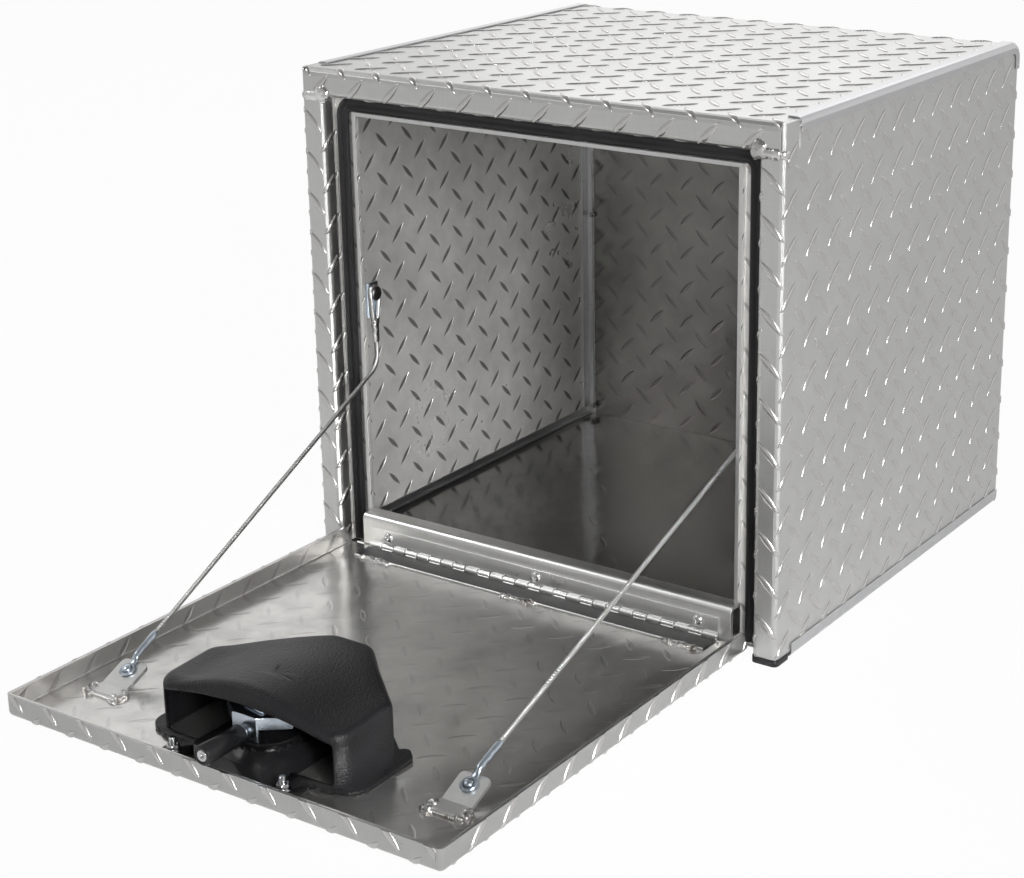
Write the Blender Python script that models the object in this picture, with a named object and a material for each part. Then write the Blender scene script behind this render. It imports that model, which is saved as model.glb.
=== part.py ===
"""Underbody truck tool box of folded tread plate, with its drop-down door hanging open.

The origin is the middle of the box's underside. +X is to the right seen from the front, the door opens
towards -Y and +Z is up. Every length is in metres.
"""
import math

import bmesh
import bpy
from mathutils import Matrix, Vector

MM = 0.001

# Box
BOX_WIDTH = 457.2 * MM
BOX_DEPTH = 419.1 * MM
BOX_HEIGHT = 425.45 * MM
SHEET = 3.2 * MM
FOLD_RADIUS = 1.3 * MM
GAP = 0.3 * MM
OVERRUN = 2.0 * MM

# Corner extrusions, which hold the plates' edges in grooves
PLATE_INSET = 1.5 * MM
LEG_THICKNESS = 1.2 * MM
INNER_LEG_THICKNESS = 1.5 * MM
NOSE_RADIUS = 5.0 * MM
TOP_LEG = 12.0 * MM
SIDE_LEG = 10.0 * MM
BOTTOM_SIDE_LEG = 12.0 * MM
INNER_WALL_LEG = 11.0 * MM
FLOOR_LEG_REACH = 9.1 * MM
EXTRUSION_START = 22.6 * MM
REAR_BEND_RADIUS = 16.0 * MM
REAR_TAIL = 8.0 * MM
REAR_FLANGE = 11.0 * MM
ANGLE_WALL_LEG = 11.0 * MM
ANGLE_REAR_LEG = 6.6 * MM
ANGLE_THICKNESS = 1.6 * MM

# Front frame: flange, return, lip and forward hem
JAMB_WIDTH = 21.7 * MM
HEADER_HEIGHT = 24.35 * MM
HEADER_FOLD_RADIUS = 2.8 * MM
CHANNEL_DEPTH = 17.3 * MM
HEM_EDGE_DEPTH = 13.0 * MM
FRAME_WIDTH = 46.6 * MM
FRAME_HEIGHT = 40.45 * MM
JAMB_END = 5.5 * MM

# Bulb seal
SEAL_WIDTH = 11.4 * MM
SEAL_INSET = 8.6 * MM
SEAL_CREST_DEPTH = 13.3 * MM
SEAL_VALLEY = 1.3 * MM
SEAL_SHOULDER = 1.2 * MM
SEAL_FOOT_CHAMFER = 0.6 * MM
SEAL_CORNER_RADIUS = 11.0 * MM
SEAL_END = 8.0 * MM

# Rubber feet in the jambs' lower ends
FOOT_PROUD = 0.5 * MM
FOOT_DEPTH = 21.5 * MM
FOOT_RADIUS = 4.0 * MM
PLUG_HEIGHT = 12.0 * MM
PLUG_LENGTH = 12.0 * MM
PLUG_RADIUS = 1.6 * MM

# Sill rail under the opening
SILL_OVERLAP = 2.4 * MM
SILL_TOP = 38.0 * MM
SILL_DEPTH = 15.0 * MM
SILL_FOOT = 16.0 * MM
SILL_NOSE_RADIUS = 2.3 * MM

# Piano hinge
PIN_DEPTH = 1.4 * MM
PIN_HEIGHT = 12.5 * MM
PIN_RADIUS = 1.4 * MM
PIN_CLEARANCE = 0.3 * MM
KNUCKLE_RADIUS = 2.7 * MM
KNUCKLES = 27
KNUCKLE_GAP = 0.4 * MM
HINGE_INSET = 7.85 * MM
PIN_OVERHANG = 0.5 * MM
LEAF_THICKNESS = 1.5 * MM
BOX_LEAF_HEIGHT = 15.2 * MM
DOOR_LEAF_DEPTH = 22.4 * MM

# Pan-head screws through the hinge's upright leaf
SCREW_INSET = 26.7 * MM
SCREW_HEIGHT = 21.4 * MM
SCREW_HEAD_RADIUS = 4.5 * MM
SCREW_HEAD_HEIGHT = 1.7 * MM
SCREW_RADIUS = 2.2 * MM
SCREW_LENGTH = 11.0 * MM
FASTENER_CLEARANCE = 0.4 * MM

# Door pan
DOOR_SIDE_INSET = 28.1 * MM
DOOR_TOP_INSET = 41.65 * MM
DOOR_HEEL = 2.5 * MM
DOOR_FACE = 6.3 * MM
DOOR_PAN_DEPTH = 17.7 * MM
DOOR_FOLD_RADIUS = 4.5 * MM
DOOR_CORNER_RADIUS = 2.5 * MM
FLANGE_HEEL_CUT = 5.0 * MM

# Door cables, their brackets, eyes and anchors
CABLE_RADIUS = 1.5 * MM
CABLE_DOOR_INSET = 40.5 * MM
CABLE_BOX_INSET = 1.6 * MM
CABLE_EDGE_INSET = 81.8 * MM
CABLE_LOW_HEIGHT = 22.0 * MM
CABLE_TURN_DEPTH = 27.0 * MM
CABLE_TURN_DROP = 64.6 * MM
CABLE_TURN_LENGTH = 10.0 * MM
CABLE_STEP = 18.0 * MM
BRACKET_WIDTH = 25.0 * MM
BRACKET_THICKNESS = 3.0 * MM
BRACKET_FOOT = 14.0 * MM
BRACKET_END = 10.0 * MM
BRACKET_CORNER = 4.0 * MM
EYE_RADIUS = 6.5 * MM
EYE_THICKNESS = 2.0 * MM
EYE_NECK = 6.0 * MM
FERRULE_RADIUS = 2.8 * MM
FERRULE_START = 8.0 * MM
FERRULE_END = 38.0 * MM
RIVET_RADIUS = 2.0 * MM
RIVET_HEAD_RADIUS = 4.4 * MM
RIVET_HEAD_HEIGHT = 1.8 * MM
RIVET_TAIL_RADIUS = 3.4 * MM
ANCHOR_DROP = 21.0 * MM
ANCHOR_RISE = 9.0 * MM
ANCHOR_THICKNESS = 1.6 * MM
ANCHOR_LIP_LEG = 19.0 * MM
ANCHOR_REACH = 13.0 * MM
LOOP_CLEARANCE = 0.4 * MM
LOOP_HEIGHT_SHARE = 0.543
LOOP_BEND_RADIUS = 5.6 * MM
LOOP_LENGTH = 25.0 * MM
LOOP_PIN_RADIUS = 3.6 * MM
LOOP_HEAD_RADIUS = 6.3 * MM
SLEEVE_RADIUS = 3.4 * MM
SLEEVE_LENGTH = 21.0 * MM

# Latch: dish, spindle, arm with roller, and folding handle
LATCH_EDGE_INSET = 60.8 * MM
DISH_SIDE = 80.0 * MM
DISH_CORNER = 12.0 * MM
DISH_FLANGE = 8.0 * MM
DISH_FLANGE_THICKNESS = 2.0 * MM
DISH_RECESS_RADIUS = 37.0 * MM
DISH_ROOF = 16.5 * MM
DISH_ROOF_THICKNESS = 2.5 * MM
HUB_RADIUS = 25.0 * MM
HUB_DROP = 16.0 * MM
HUB_RIM = 1.5 * MM
HUB_RIM_HEIGHT = 3.0 * MM
GASKET_THICKNESS = 0.8 * MM
SPINDLE_RADIUS = 6.0 * MM
SPINDLE_CLEARANCE = 0.4 * MM
SPINDLE_THREAD_RADIUS = 4.0 * MM
SPINDLE_THREAD_LENGTH = 13.7 * MM
YOKE_RADIUS = 11.0 * MM
YOKE_BASE = 14.1 * MM
YOKE_EAR_THICKNESS = 3.2 * MM
YOKE_EAR_LENGTH = 10.0 * MM
HANDLE_PIN_HEIGHT = 9.3 * MM
HANDLE_PIN_RADIUS = 2.0 * MM
HANDLE_THICKNESS = 8.8 * MM
HANDLE_STEM_WIDTH = 9.0 * MM
HANDLE_STEM_LENGTH = 24.5 * MM
HANDLE_BAR_LENGTH = 44.0 * MM
HANDLE_BAR_WIDTH = 9.0 * MM
HANDLE_BAR_RADIUS = 3.0 * MM
HANDLE_BOSS_RADIUS = 8.0 * MM
LOCK_RADIUS = 5.0 * MM
LOCK_LENGTH = 5.4 * MM
LOCK_PROUD = 0.4 * MM
KEY_SLOT_WIDTH = 1.2 * MM
KEY_SLOT_LENGTH = 5.0 * MM
KEY_SLOT_DEPTH = 2.0 * MM
ARM_THICKNESS = 3.0 * MM
ARM_HUB_RADIUS = 18.0 * MM
ARM_TAB_REACH = 23.0 * MM
ARM_TAB_WIDTH = 23.0 * MM
ARM_TAB_DROP = 15.5 * MM
ARM_WING_REACH = 32.0 * MM
ARM_WING_DROP = 7.5 * MM
CAM_PLATE_THICKNESS = 2.5 * MM
CAM_PLATE_WIDTH = 22.0 * MM
CAM_PLATE_LENGTH = 26.0 * MM
ARM_NUT_FLATS = 13.0 * MM
ARM_NUT_HEIGHT = 6.0 * MM
ROLLER_DROP = 9.5 * MM
ROLLER_CLEARANCE = 2.3 * MM
ROLLER_RADIUS = 7.5 * MM
ROLLER_BORE_RADIUS = 3.3 * MM
ROLLER_LENGTH = 38.0 * MM
ROLLER_WELL_RADIUS = 5.0 * MM
ROLLER_WELL_DEPTH = 3.6 * MM
ROLLER_CHAMFER = 0.8 * MM
BOLT_RADIUS = 2.9 * MM
BOLT_COLLAR_RADIUS = 4.8 * MM
BOLT_COLLAR_LENGTH = 3.7 * MM
BOLT_HEAD_RADIUS = 4.5 * MM
BOLT_HEAD_HEIGHT = 3.6 * MM
BOLT_SOCKET_FLATS = 4.0 * MM
BOLT_SOCKET_DEPTH = 2.2 * MM
BOLT_NUT_FLATS = 9.6 * MM
BOLT_NUT_HEIGHT = 5.0 * MM

# Moulded latch cover
COVER_HALF_WIDTH = 86.0 * MM
COVER_FRONT_AHEAD = 23.0 * MM
COVER_SIDE_BEHIND = 36.0 * MM
COVER_SLANT_HALF_WIDTH = 46.0 * MM
COVER_SLANT_BEHIND = 70.0 * MM
COVER_REAR_BEHIND = 97.0 * MM
COVER_REAR_HALF_WIDTH = 18.0 * MM
COVER_CORNER_RADIUS = 16.0 * MM
COVER_SHOULDER_RADIUS = 6.0 * MM
COVER_WALL = 2.5 * MM
COVER_SIDE_RISE = 8.7 * MM
COVER_REAR_RISE = 5.0 * MM
COVER_CREST_RISE = 16.0 * MM
COVER_CREST_HALF_WIDTH = 71.0 * MM
COVER_BASE_THICKNESS = 2.8 * MM
COVER_BASE_REACH = 4.0 * MM
COVER_FLANGE_REACH = 11.0 * MM
COVER_FLANGE_RADIUS = 5.0 * MM
COVER_FLANGE_BEHIND = 5.0 * MM
COVER_FLANGE_TAIL = 10.0 * MM
COVER_STEP = 9.0 * MM
COVER_CENTRE_BEHIND = 11.0 * MM
MOUTH_HALF_WIDTH = 78.0 * MM
MOUTH_SIDE_RISE = 1.7 * MM
MOUTH_RISE = 9.0 * MM
MOUTH_CORNER = 4.0 * MM
STUD_X = 51.0 * MM
STUD_AHEAD = 41.7 * MM
STUD_PAD_RADIUS = 10.5 * MM
STUD_RADIUS = 2.7 * MM
STUD_TOP = 24.0 * MM
STUD_NUT_FLATS = 10.0 * MM
STUD_NUT_HEIGHT = 5.0 * MM

# Facets
ROUND_SIDES = 24
SMALL_SIDES = 12
FOLD_STEPS = 3
CORNER_STEPS = 5

# Places that the sizes above give
FRONT = -BOX_DEPTH / 2
REAR = BOX_DEPTH / 2
HALF_WIDTH = BOX_WIDTH / 2
FACE_X = HALF_WIDTH - PLATE_INSET
WALL_X = FACE_X - SHEET
FACE_TOP = BOX_HEIGHT - PLATE_INSET
FACE_REAR = REAR - PLATE_INSET
INNER_LEG_START = PLATE_INSET + SHEET + GAP
INNER_LEG_END = INNER_LEG_START + INNER_LEG_THICKNESS
PLATE_EDGE = INNER_LEG_END + GAP
JAMB_X = FACE_X - JAMB_WIDTH
OPENING_HALF_WIDTH = HALF_WIDTH - FRAME_WIDTH
OPENING_TOP = BOX_HEIGHT - FRAME_HEIGHT
HEADER_BOTTOM = BOX_HEIGHT - HEADER_HEIGHT
REAR_SEAM = BOX_HEIGHT - REAR_BEND_RADIUS - REAR_TAIL
SEAL_X = JAMB_X - SEAL_INSET
SEAL_TOP = (OPENING_TOP + SHEET + HEADER_BOTTOM) / 2
PIN_Y = FRONT + PIN_DEPTH
HINGE_HALF_LENGTH = OPENING_HALF_WIDTH - HINGE_INSET
BOX_LEAF_Y = PIN_Y + KNUCKLE_RADIUS - LEAF_THICKNESS
SILL_Y = PIN_Y + KNUCKLE_RADIUS + GAP
SILL_HALF_LENGTH = OPENING_HALF_WIDTH + SILL_OVERLAP
SCREW_SPREAD = OPENING_HALF_WIDTH - SCREW_INSET
FLOOR_TOP = SHEET
DOOR_HALF_WIDTH = HALF_WIDTH - DOOR_SIDE_INSET
DOOR_FREE_EDGE = BOX_HEIGHT - DOOR_TOP_INSET
DOOR_SKIN = DOOR_FACE + SHEET
SEAT = DOOR_SKIN + GAP
DOOR_RIM = DOOR_FACE + DOOR_PAN_DEPTH
CABLE_DOOR_X = DOOR_HALF_WIDTH - CABLE_DOOR_INSET
CABLE_BOX_X = OPENING_HALF_WIDTH - CABLE_BOX_INSET
CABLE_LOW_REACH = DOOR_FREE_EDGE - CABLE_EDGE_INSET
LOOP_PIN_HEIGHT = BOX_HEIGHT * LOOP_HEIGHT_SHARE
CABLE_TURN_HEIGHT = LOOP_PIN_HEIGHT - CABLE_TURN_DROP
LATCH_Y = FRONT - DOOR_FREE_EDGE + LATCH_EDGE_INSET
ROLLER_HEIGHT = DOOR_RIM + ROLLER_CLEARANCE + ROLLER_RADIUS
ARM_HEIGHT = ROLLER_HEIGHT + ROLLER_DROP
HUB_TOP = ARM_HEIGHT - HUB_DROP
ARM_TAB_BOTTOM = ARM_HEIGHT - ARM_TAB_DROP
SPINDLE_THREAD_END = ARM_HEIGHT + SPINDLE_THREAD_LENGTH
COVER_SIDE_TOP = ARM_HEIGHT + COVER_SIDE_RISE
MOUTH_SIDE_TOP = ARM_HEIGHT + MOUTH_SIDE_RISE
COVER_FRONT_Y = LATCH_Y - COVER_FRONT_AHEAD
COVER_SIDE_Y = LATCH_Y + COVER_SIDE_BEHIND
COVER_SLANT_Y = LATCH_Y + COVER_SLANT_BEHIND
COVER_REAR_Y = LATCH_Y + COVER_REAR_BEHIND
COVER_FLANGE_Y = COVER_SIDE_Y + COVER_FLANGE_BEHIND
STUD_Y = LATCH_Y - STUD_AHEAD


def material(name, colour, roughness, metallic):
    """A plain surface finish."""
    paint = bpy.data.materials.new(name)
    paint.use_nodes = True
    shader = paint.node_tree.nodes["Principled BSDF"]
    shader.inputs["Base Color"].default_value = (*colour, 1.0)
    shader.inputs["Roughness"].default_value = roughness
    shader.inputs["Metallic"].default_value = metallic
    return paint


def offset_line(points, distance, closed=False):
    """The line that runs beside a line of 2D points, a distance to its left."""
    count = len(points)
    moved = []
    for i, point in enumerate(points):
        normals = []
        for a, b in ((i - 1, i), (i, i + 1)):
            if closed or (a >= 0 and b < count):
                start, end = Vector(points[a % count]), Vector(points[b % count])
                along = (end - start).normalized()
                normals.append(Vector((-along.y, along.x)))
        middle = sum(normals, Vector((0, 0))).normalized()
        moved.append(Vector(point) + middle * (distance / middle.dot(normals[0])))
    return moved


def turn_of(points, i, closed=False):
    """Positive where the line turns left at point i."""
    count = len(points)
    if not closed and i in (0, count - 1):
        return 0
    before, here, after = (Vector(points[j % count]) for j in (i - 1, i, i + 1))
    return (here - before).cross(after - here)


def rounded(points, radii, steps, closed=False):
    """The line with its corners turned into arcs."""
    count = len(points)
    line = []
    for i, (point, radius) in enumerate(zip(points, radii)):
        here = Vector(point)
        turn = turn_of(points, i, closed)
        if turn == 0 or radius <= 0:
            line.append(here)
            continue
        back = (Vector(points[i - 1]) - here).normalized()
        ahead = (Vector(points[(i + 1) % count]) - here).normalized()
        half = back.angle(ahead) / 2
        centre = here + (back + ahead).normalized() * (radius / math.sin(half))
        first = here + back * (radius / math.tan(half)) - centre
        sweep = math.copysign(math.pi - 2 * half, turn)
        for k in range(steps + 1):
            arm = first.copy()
            arm.rotate(Matrix.Rotation(sweep * k / steps, 2))
            line.append(centre + arm)
    return line


def folded(path, thickness, radii, steps=FOLD_STEPS):
    """Outline of a sheet folded along a path on one face; the thickness is laid to the path's left."""
    size = abs(thickness)
    toward = [turn_of(path, i) * thickness > 0 for i in range(len(path))]
    near_line = rounded(path, [r + size if t else r for r, t in zip(radii, toward)], steps)
    shift = offset_line(path, thickness)
    far_line = rounded(shift, [r if t else r + size for r, t in zip(radii, toward)], steps)
    return near_line + far_line[::-1]


def circle(radius, sides=ROUND_SIDES, centre=(0, 0)):
    """Points of a circle."""
    angles = [2 * math.pi * i / sides for i in range(sides)]
    return [Vector((centre[0] + radius * math.cos(a), centre[1] + radius * math.sin(a))) for a in angles]


def rectangle(left, right, low, high, radius=0, steps=FOLD_STEPS):
    """Points of a rectangle, with round corners if it has a radius."""
    corners = [(left, low), (right, low), (right, high), (left, high)]
    return rounded(corners, [radius] * len(corners), steps, closed=True)


def hexagon(flats):
    """Points of a hexagon a distance across its flats."""
    return circle(flats / math.sqrt(3), 6)


AXES = {
    "X": lambda a, b, c: (c, a, b),
    "Y": lambda a, b, c: (a, c, b),
    "Z": lambda a, b, c: (a, b, c),
}


def place(bm, name, paint, origin=(0, 0, 0), rotation=(0, 0, 0)):
    """Turn a finished mesh into an object."""
    bmesh.ops.remove_doubles(bm, verts=bm.verts, dist=GAP / 1000)
    bmesh.ops.recalc_face_normals(bm, faces=bm.faces)
    mesh = bpy.data.meshes.new(name)
    bm.to_mesh(mesh)
    bm.free()
    mesh.shade_smooth()
    mesh.set_sharp_from_angle(angle=math.radians(35))
    obj = bpy.data.objects.new(name, mesh)
    obj.location = origin
    obj.rotation_euler = rotation
    bpy.context.collection.objects.link(obj)
    if paint:
        mesh.materials.append(paint)
    return obj


def prism_mesh(outline, axis, low, high):
    """A straight solid along an axis with the outline as its ends."""
    bm = bmesh.new()
    rings = [[bm.verts.new(AXES[axis](p[0], p[1], level)) for p in outline] for level in (low, high)]
    for ring in rings:
        bm.faces.new(ring)
    count = len(outline)
    for i in range(count):
        j = (i + 1) % count
        bm.faces.new((rings[0][i], rings[0][j], rings[1][j], rings[1][i]))
    return bm


def prism(name, outline, axis, low, high, paint, origin=(0, 0, 0), rotation=(0, 0, 0)):
    return place(prism_mesh(outline, axis, low, high), name, paint, origin, rotation)


def rings_mesh(rings, closed=False):
    """A skin over rings of points; the ends are capped unless the rings close on themselves."""
    bm = bmesh.new()
    loops = [[bm.verts.new(p) for p in ring] for ring in rings]
    count = len(rings[0])
    pairs = list(zip(loops, loops[1:]))
    if closed:
        pairs.append((loops[-1], loops[0]))
    else:
        bm.faces.new(loops[0])
        bm.faces.new(loops[-1])
    for low, high in pairs:
        for i in range(count):
            j = (i + 1) % count
            bm.faces.new((low[i], low[j], high[j], high[i]))
    return bm


def turned(name, profile, axis, paint, origin=(0, 0, 0), rotation=(0, 0, 0), sides=ROUND_SIDES):
    """A turned solid: the profile is a list of radius and height, from the axis to the axis or closed."""
    bm = bmesh.new()
    loops = []
    for radius, height in profile:
        ring = [AXES[axis](p.x, p.y, height) for p in circle(radius, sides)]
        if radius == 0:
            loops.append([bm.verts.new(AXES[axis](0, 0, height))])
        else:
            loops.append([bm.verts.new(p) for p in ring])
    pairs = list(zip(loops, loops[1:]))
    if profile[0][0] > 0:
        pairs.append((loops[-1], loops[0]))
    for low, high in pairs:
        for i in range(sides):
            j = (i + 1) % sides
            corners = [low[i % len(low)], low[j % len(low)], high[j % len(high)], high[i % len(high)]]
            bm.faces.new(list(dict.fromkeys(corners)))
    return place(bm, name, paint, origin, rotation)


def swept(name, section, path, to_space, paint):
    """A section of across and along values carried beside a path in a plane."""
    lines = [offset_line(path, across) for across, _ in section]
    rings = []
    for i in range(len(path)):
        rings.append([to_space(lines[j][i], section[j][1]) for j in range(len(section))])
    return place(rings_mesh(rings), name, paint)


def combine(target, tool, operation):
    """Cut a tool away from a piece, or join it on."""
    change = target.modifiers.new(operation.lower(), "BOOLEAN")
    change.operation = operation
    change.solver = "EXACT"
    change.object = tool
    tool.hide_render = True
    tool.display_type = "WIRE"


def cut(target, *tools):
    for tool in tools:
        combine(target, tool, "DIFFERENCE")


def join(target, *tools):
    for tool in tools:
        combine(target, tool, "UNION")


def block(name, x, y, z):
    """A plain cutting block from its limits along each axis."""
    outline = [(x[0], y[0]), (x[1], y[0]), (x[1], y[1]), (x[0], y[1])]
    return prism(name, outline, "Z", z[0], z[1], None)


def round_edges(obj, chosen, radius, steps=FOLD_STEPS):
    """Round the edges of a mesh for which chosen says yes, from its two ends."""
    bm = bmesh.new()
    bm.from_mesh(obj.data)
    edges = [e for e in bm.edges if chosen(e.verts[0].co, e.verts[1].co)]
    bmesh.ops.bevel(bm, geom=edges, offset=radius, segments=steps, profile=0.5, affect="EDGES")
    bmesh.ops.recalc_face_normals(bm, faces=bm.faces)
    bm.to_mesh(obj.data)
    bm.free()


def near(a, b):
    return abs(a - b) < GAP / 10


def side_name(side):
    return "right" if side > 0 else "left"


def mirror_outline(outline, side):
    return [Vector((p[0] * side, p[1])) for p in outline]


def roof_path():
    """The outer line of the top corner extrusion, from the front over the rear bend."""
    corner = [(FRONT + EXTRUSION_START, BOX_HEIGHT), (REAR, BOX_HEIGHT), (REAR, REAR_SEAM)]
    return rounded(corner, [0, REAR_BEND_RADIUS, 0], CORNER_STEPS)


def make_top_panel(paint):
    path = [
        (FACE_REAR, REAR_SEAM),
        (FACE_REAR, FACE_TOP),
        (FRONT, FACE_TOP),
        (FRONT, HEADER_BOTTOM),
        (FRONT + CHANNEL_DEPTH, HEADER_BOTTOM),
        (FRONT + CHANNEL_DEPTH, OPENING_TOP + SHEET),
        (FRONT + HEM_EDGE_DEPTH, OPENING_TOP + SHEET),
    ]
    rear_radius = REAR_BEND_RADIUS - PLATE_INSET - SHEET
    radii = [0, rear_radius, HEADER_FOLD_RADIUS, FOLD_RADIUS, FOLD_RADIUS, FOLD_RADIUS, 0]
    half = WALL_X - GAP
    panel = prism("top_panel", folded(path, SHEET, radii), "X", -half, half, paint)
    for side in (-1, 1):
        edge = HALF_WIDTH - PLATE_EDGE
        x = sorted((side * edge, side * HALF_WIDTH))
        y = (FRONT + EXTRUSION_START - GAP, REAR + OVERRUN)
        cut(panel, block(f"top_edge_cut_{side_name(side)}", x, y, (REAR_SEAM - OVERRUN, BOX_HEIGHT)))
        low = OPENING_TOP - OVERRUN
        mitre = [
            (OPENING_HALF_WIDTH, low),
            (OPENING_HALF_WIDTH, OPENING_TOP),
            (JAMB_X, HEADER_BOTTOM),
            (HALF_WIDTH, HEADER_BOTTOM),
            (HALF_WIDTH, low),
        ]
        depth = (FRONT + HEM_EDGE_DEPTH - OVERRUN, FRONT + CHANNEL_DEPTH + SHEET + OVERRUN)
        cut(panel, prism(f"header_mitre_cut_{side_name(side)}", mirror_outline(mitre, side), "Y", *depth, None))
    return panel


def make_side_panel(side, paint):
    name = side_name(side)
    path = [
        (FACE_X - REAR_FLANGE, FACE_REAR),
        (FACE_X, FACE_REAR),
        (FACE_X, FRONT),
        (JAMB_X, FRONT),
        (JAMB_X, FRONT + CHANNEL_DEPTH),
        (OPENING_HALF_WIDTH + SHEET, FRONT + CHANNEL_DEPTH),
        (OPENING_HALF_WIDTH + SHEET, FRONT + HEM_EDGE_DEPTH),
    ]
    outline = folded(path, -SHEET, [0] + [FOLD_RADIUS] * 5 + [0])
    panel = prism(f"{name}_side_panel", mirror_outline(outline, side), "Z", GAP, FACE_TOP, paint)
    frame_end = FRONT + EXTRUSION_START - GAP
    back_face = FRONT + CHANNEL_DEPTH + SHEET

    def x_range(low, high):
        return sorted((side * low, side * high))

    front = FRONT - OVERRUN
    cut(
        panel,
        block(f"jamb_end_cut_{name}", x_range(0, HALF_WIDTH), (front, frame_end), (-OVERRUN, JAMB_END)),
        block(
            f"header_seat_cut_{name}",
            x_range(0, WALL_X),
            (front, frame_end),
            (HEADER_BOTTOM - GAP, BOX_HEIGHT),
        ),
        block(
            f"sill_seat_cut_{name}",
            x_range(0, OPENING_HALF_WIDTH + SHEET + GAP),
            (front, back_face + GAP),
            (-OVERRUN, SILL_TOP + GAP),
        ),
    )
    mitre = [
        (OPENING_HALF_WIDTH - OVERRUN, OPENING_TOP - GAP),
        (OPENING_HALF_WIDTH, OPENING_TOP - GAP),
        (JAMB_X, HEADER_BOTTOM - GAP),
        (JAMB_X, BOX_HEIGHT),
        (OPENING_HALF_WIDTH - OVERRUN, BOX_HEIGHT),
    ]
    depth = (FRONT + HEM_EDGE_DEPTH - OVERRUN, back_face + OVERRUN)
    cut(panel, prism(f"jamb_mitre_cut_{name}", mirror_outline(mitre, side), "Y", *depth, None))
    groove = offset_line(roof_path(), -PLATE_EDGE)
    groove[0] = Vector((frame_end, groove[0].y))
    groove[-1] = Vector((groove[-1].x, REAR_SEAM - GAP))
    rear_end = REAR + OVERRUN
    outside = [(rear_end, REAR_SEAM - GAP), (rear_end, BOX_HEIGHT + OVERRUN), (frame_end, BOX_HEIGHT + OVERRUN)]
    x = x_range(0, HALF_WIDTH + OVERRUN)
    cut(panel, prism(f"roof_groove_cut_{name}", groove + outside, "X", x[0], x[1], None))
    bottom = (frame_end, FACE_REAR - SHEET - FOLD_RADIUS)
    cut(panel, block(f"floor_groove_cut_{name}", x, bottom, (-OVERRUN, INNER_LEG_START + GAP)))
    return panel


def make_rear_panel(paint):
    half = FACE_X - REAR_FLANGE - GAP
    outline = rectangle(-half, half, GAP, REAR_SEAM - GAP)
    return prism("rear_panel", outline, "Y", FACE_REAR - SHEET, FACE_REAR, paint)


def make_bottom_panel(paint):
    rear = FACE_REAR - SHEET - GAP
    frame_end = FRONT + EXTRUSION_START - GAP
    front = SILL_Y + GAP
    wide = HALF_WIDTH - PLATE_EDGE
    outline = [
        (-SILL_HALF_LENGTH, front),
        (SILL_HALF_LENGTH, front),
        (SILL_HALF_LENGTH, frame_end),
        (wide, frame_end),
        (wide, rear),
        (-wide, rear),
        (-wide, frame_end),
        (-SILL_HALF_LENGTH, frame_end),
    ]
    return prism("bottom_panel", outline, "Z", 0, FLOOR_TOP, paint)


def make_top_corner(side, paint):
    nose = [Vector((p.y, p.x)) for p in rounded(
        [(0, SIDE_LEG), (0, 0), (TOP_LEG, 0)], [0, NOSE_RADIUS, 0], FOLD_STEPS)]
    inside = [
        (LEG_THICKNESS, TOP_LEG),
        (LEG_THICKNESS, INNER_LEG_END),
        (INNER_LEG_START, INNER_LEG_END),
        (INNER_LEG_START, TOP_LEG),
        (INNER_LEG_END, TOP_LEG),
        (INNER_LEG_END, INNER_LEG_END),
        (INNER_WALL_LEG, INNER_LEG_END),
        (INNER_WALL_LEG, INNER_LEG_START),
        (INNER_LEG_END, INNER_LEG_START),
        (INNER_LEG_END, LEG_THICKNESS),
        (SIDE_LEG, LEG_THICKNESS),
    ]
    section = [(-down, inward) for down, inward in [tuple(p) for p in nose] + inside]

    def to_space(point, inward):
        return (side * (HALF_WIDTH - inward), point.x, point.y)

    return swept(f"top_corner_{side_name(side)}", section, roof_path(), to_space, paint)


def make_bottom_corner(side, paint):
    nose = rounded([(0, BOTTOM_SIDE_LEG), (0, 0), (INNER_LEG_END, 0)], [0, NOSE_RADIUS, 0], FOLD_STEPS)
    floor_leg = FLOOR_TOP + GAP
    floor_leg_top = floor_leg + INNER_LEG_THICKNESS
    inside = [
        (INNER_LEG_END, floor_leg),
        (FLOOR_LEG_REACH, floor_leg),
        (FLOOR_LEG_REACH, floor_leg_top),
        (INNER_LEG_END, floor_leg_top),
        (INNER_LEG_END, INNER_WALL_LEG),
        (INNER_LEG_START, INNER_WALL_LEG),
        (INNER_LEG_START, floor_leg_top),
        (LEG_THICKNESS, floor_leg_top),
        (LEG_THICKNESS, BOTTOM_SIDE_LEG),
    ]
    outline = [(side * (HALF_WIDTH - p[0]), p[1]) for p in nose + inside]
    start = FRONT + EXTRUSION_START
    end = FACE_REAR - SHEET - FOLD_RADIUS - GAP
    return prism(f"bottom_corner_{side_name(side)}", outline, "Y", start, end, paint)


def make_rear_corner(side, paint):
    x = WALL_X - GAP
    y = FACE_REAR - SHEET - GAP
    path = [(side * x, y - ANGLE_WALL_LEG), (side * x, y), (side * (x - ANGLE_REAR_LEG), y)]
    outline = folded(path, side * ANGLE_THICKNESS, [0, FOLD_RADIUS, 0])
    low = INNER_WALL_LEG + GAP
    return prism(f"rear_corner_{side_name(side)}", outline, "Z", low, REAR_SEAM - GAP, paint)


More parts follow.
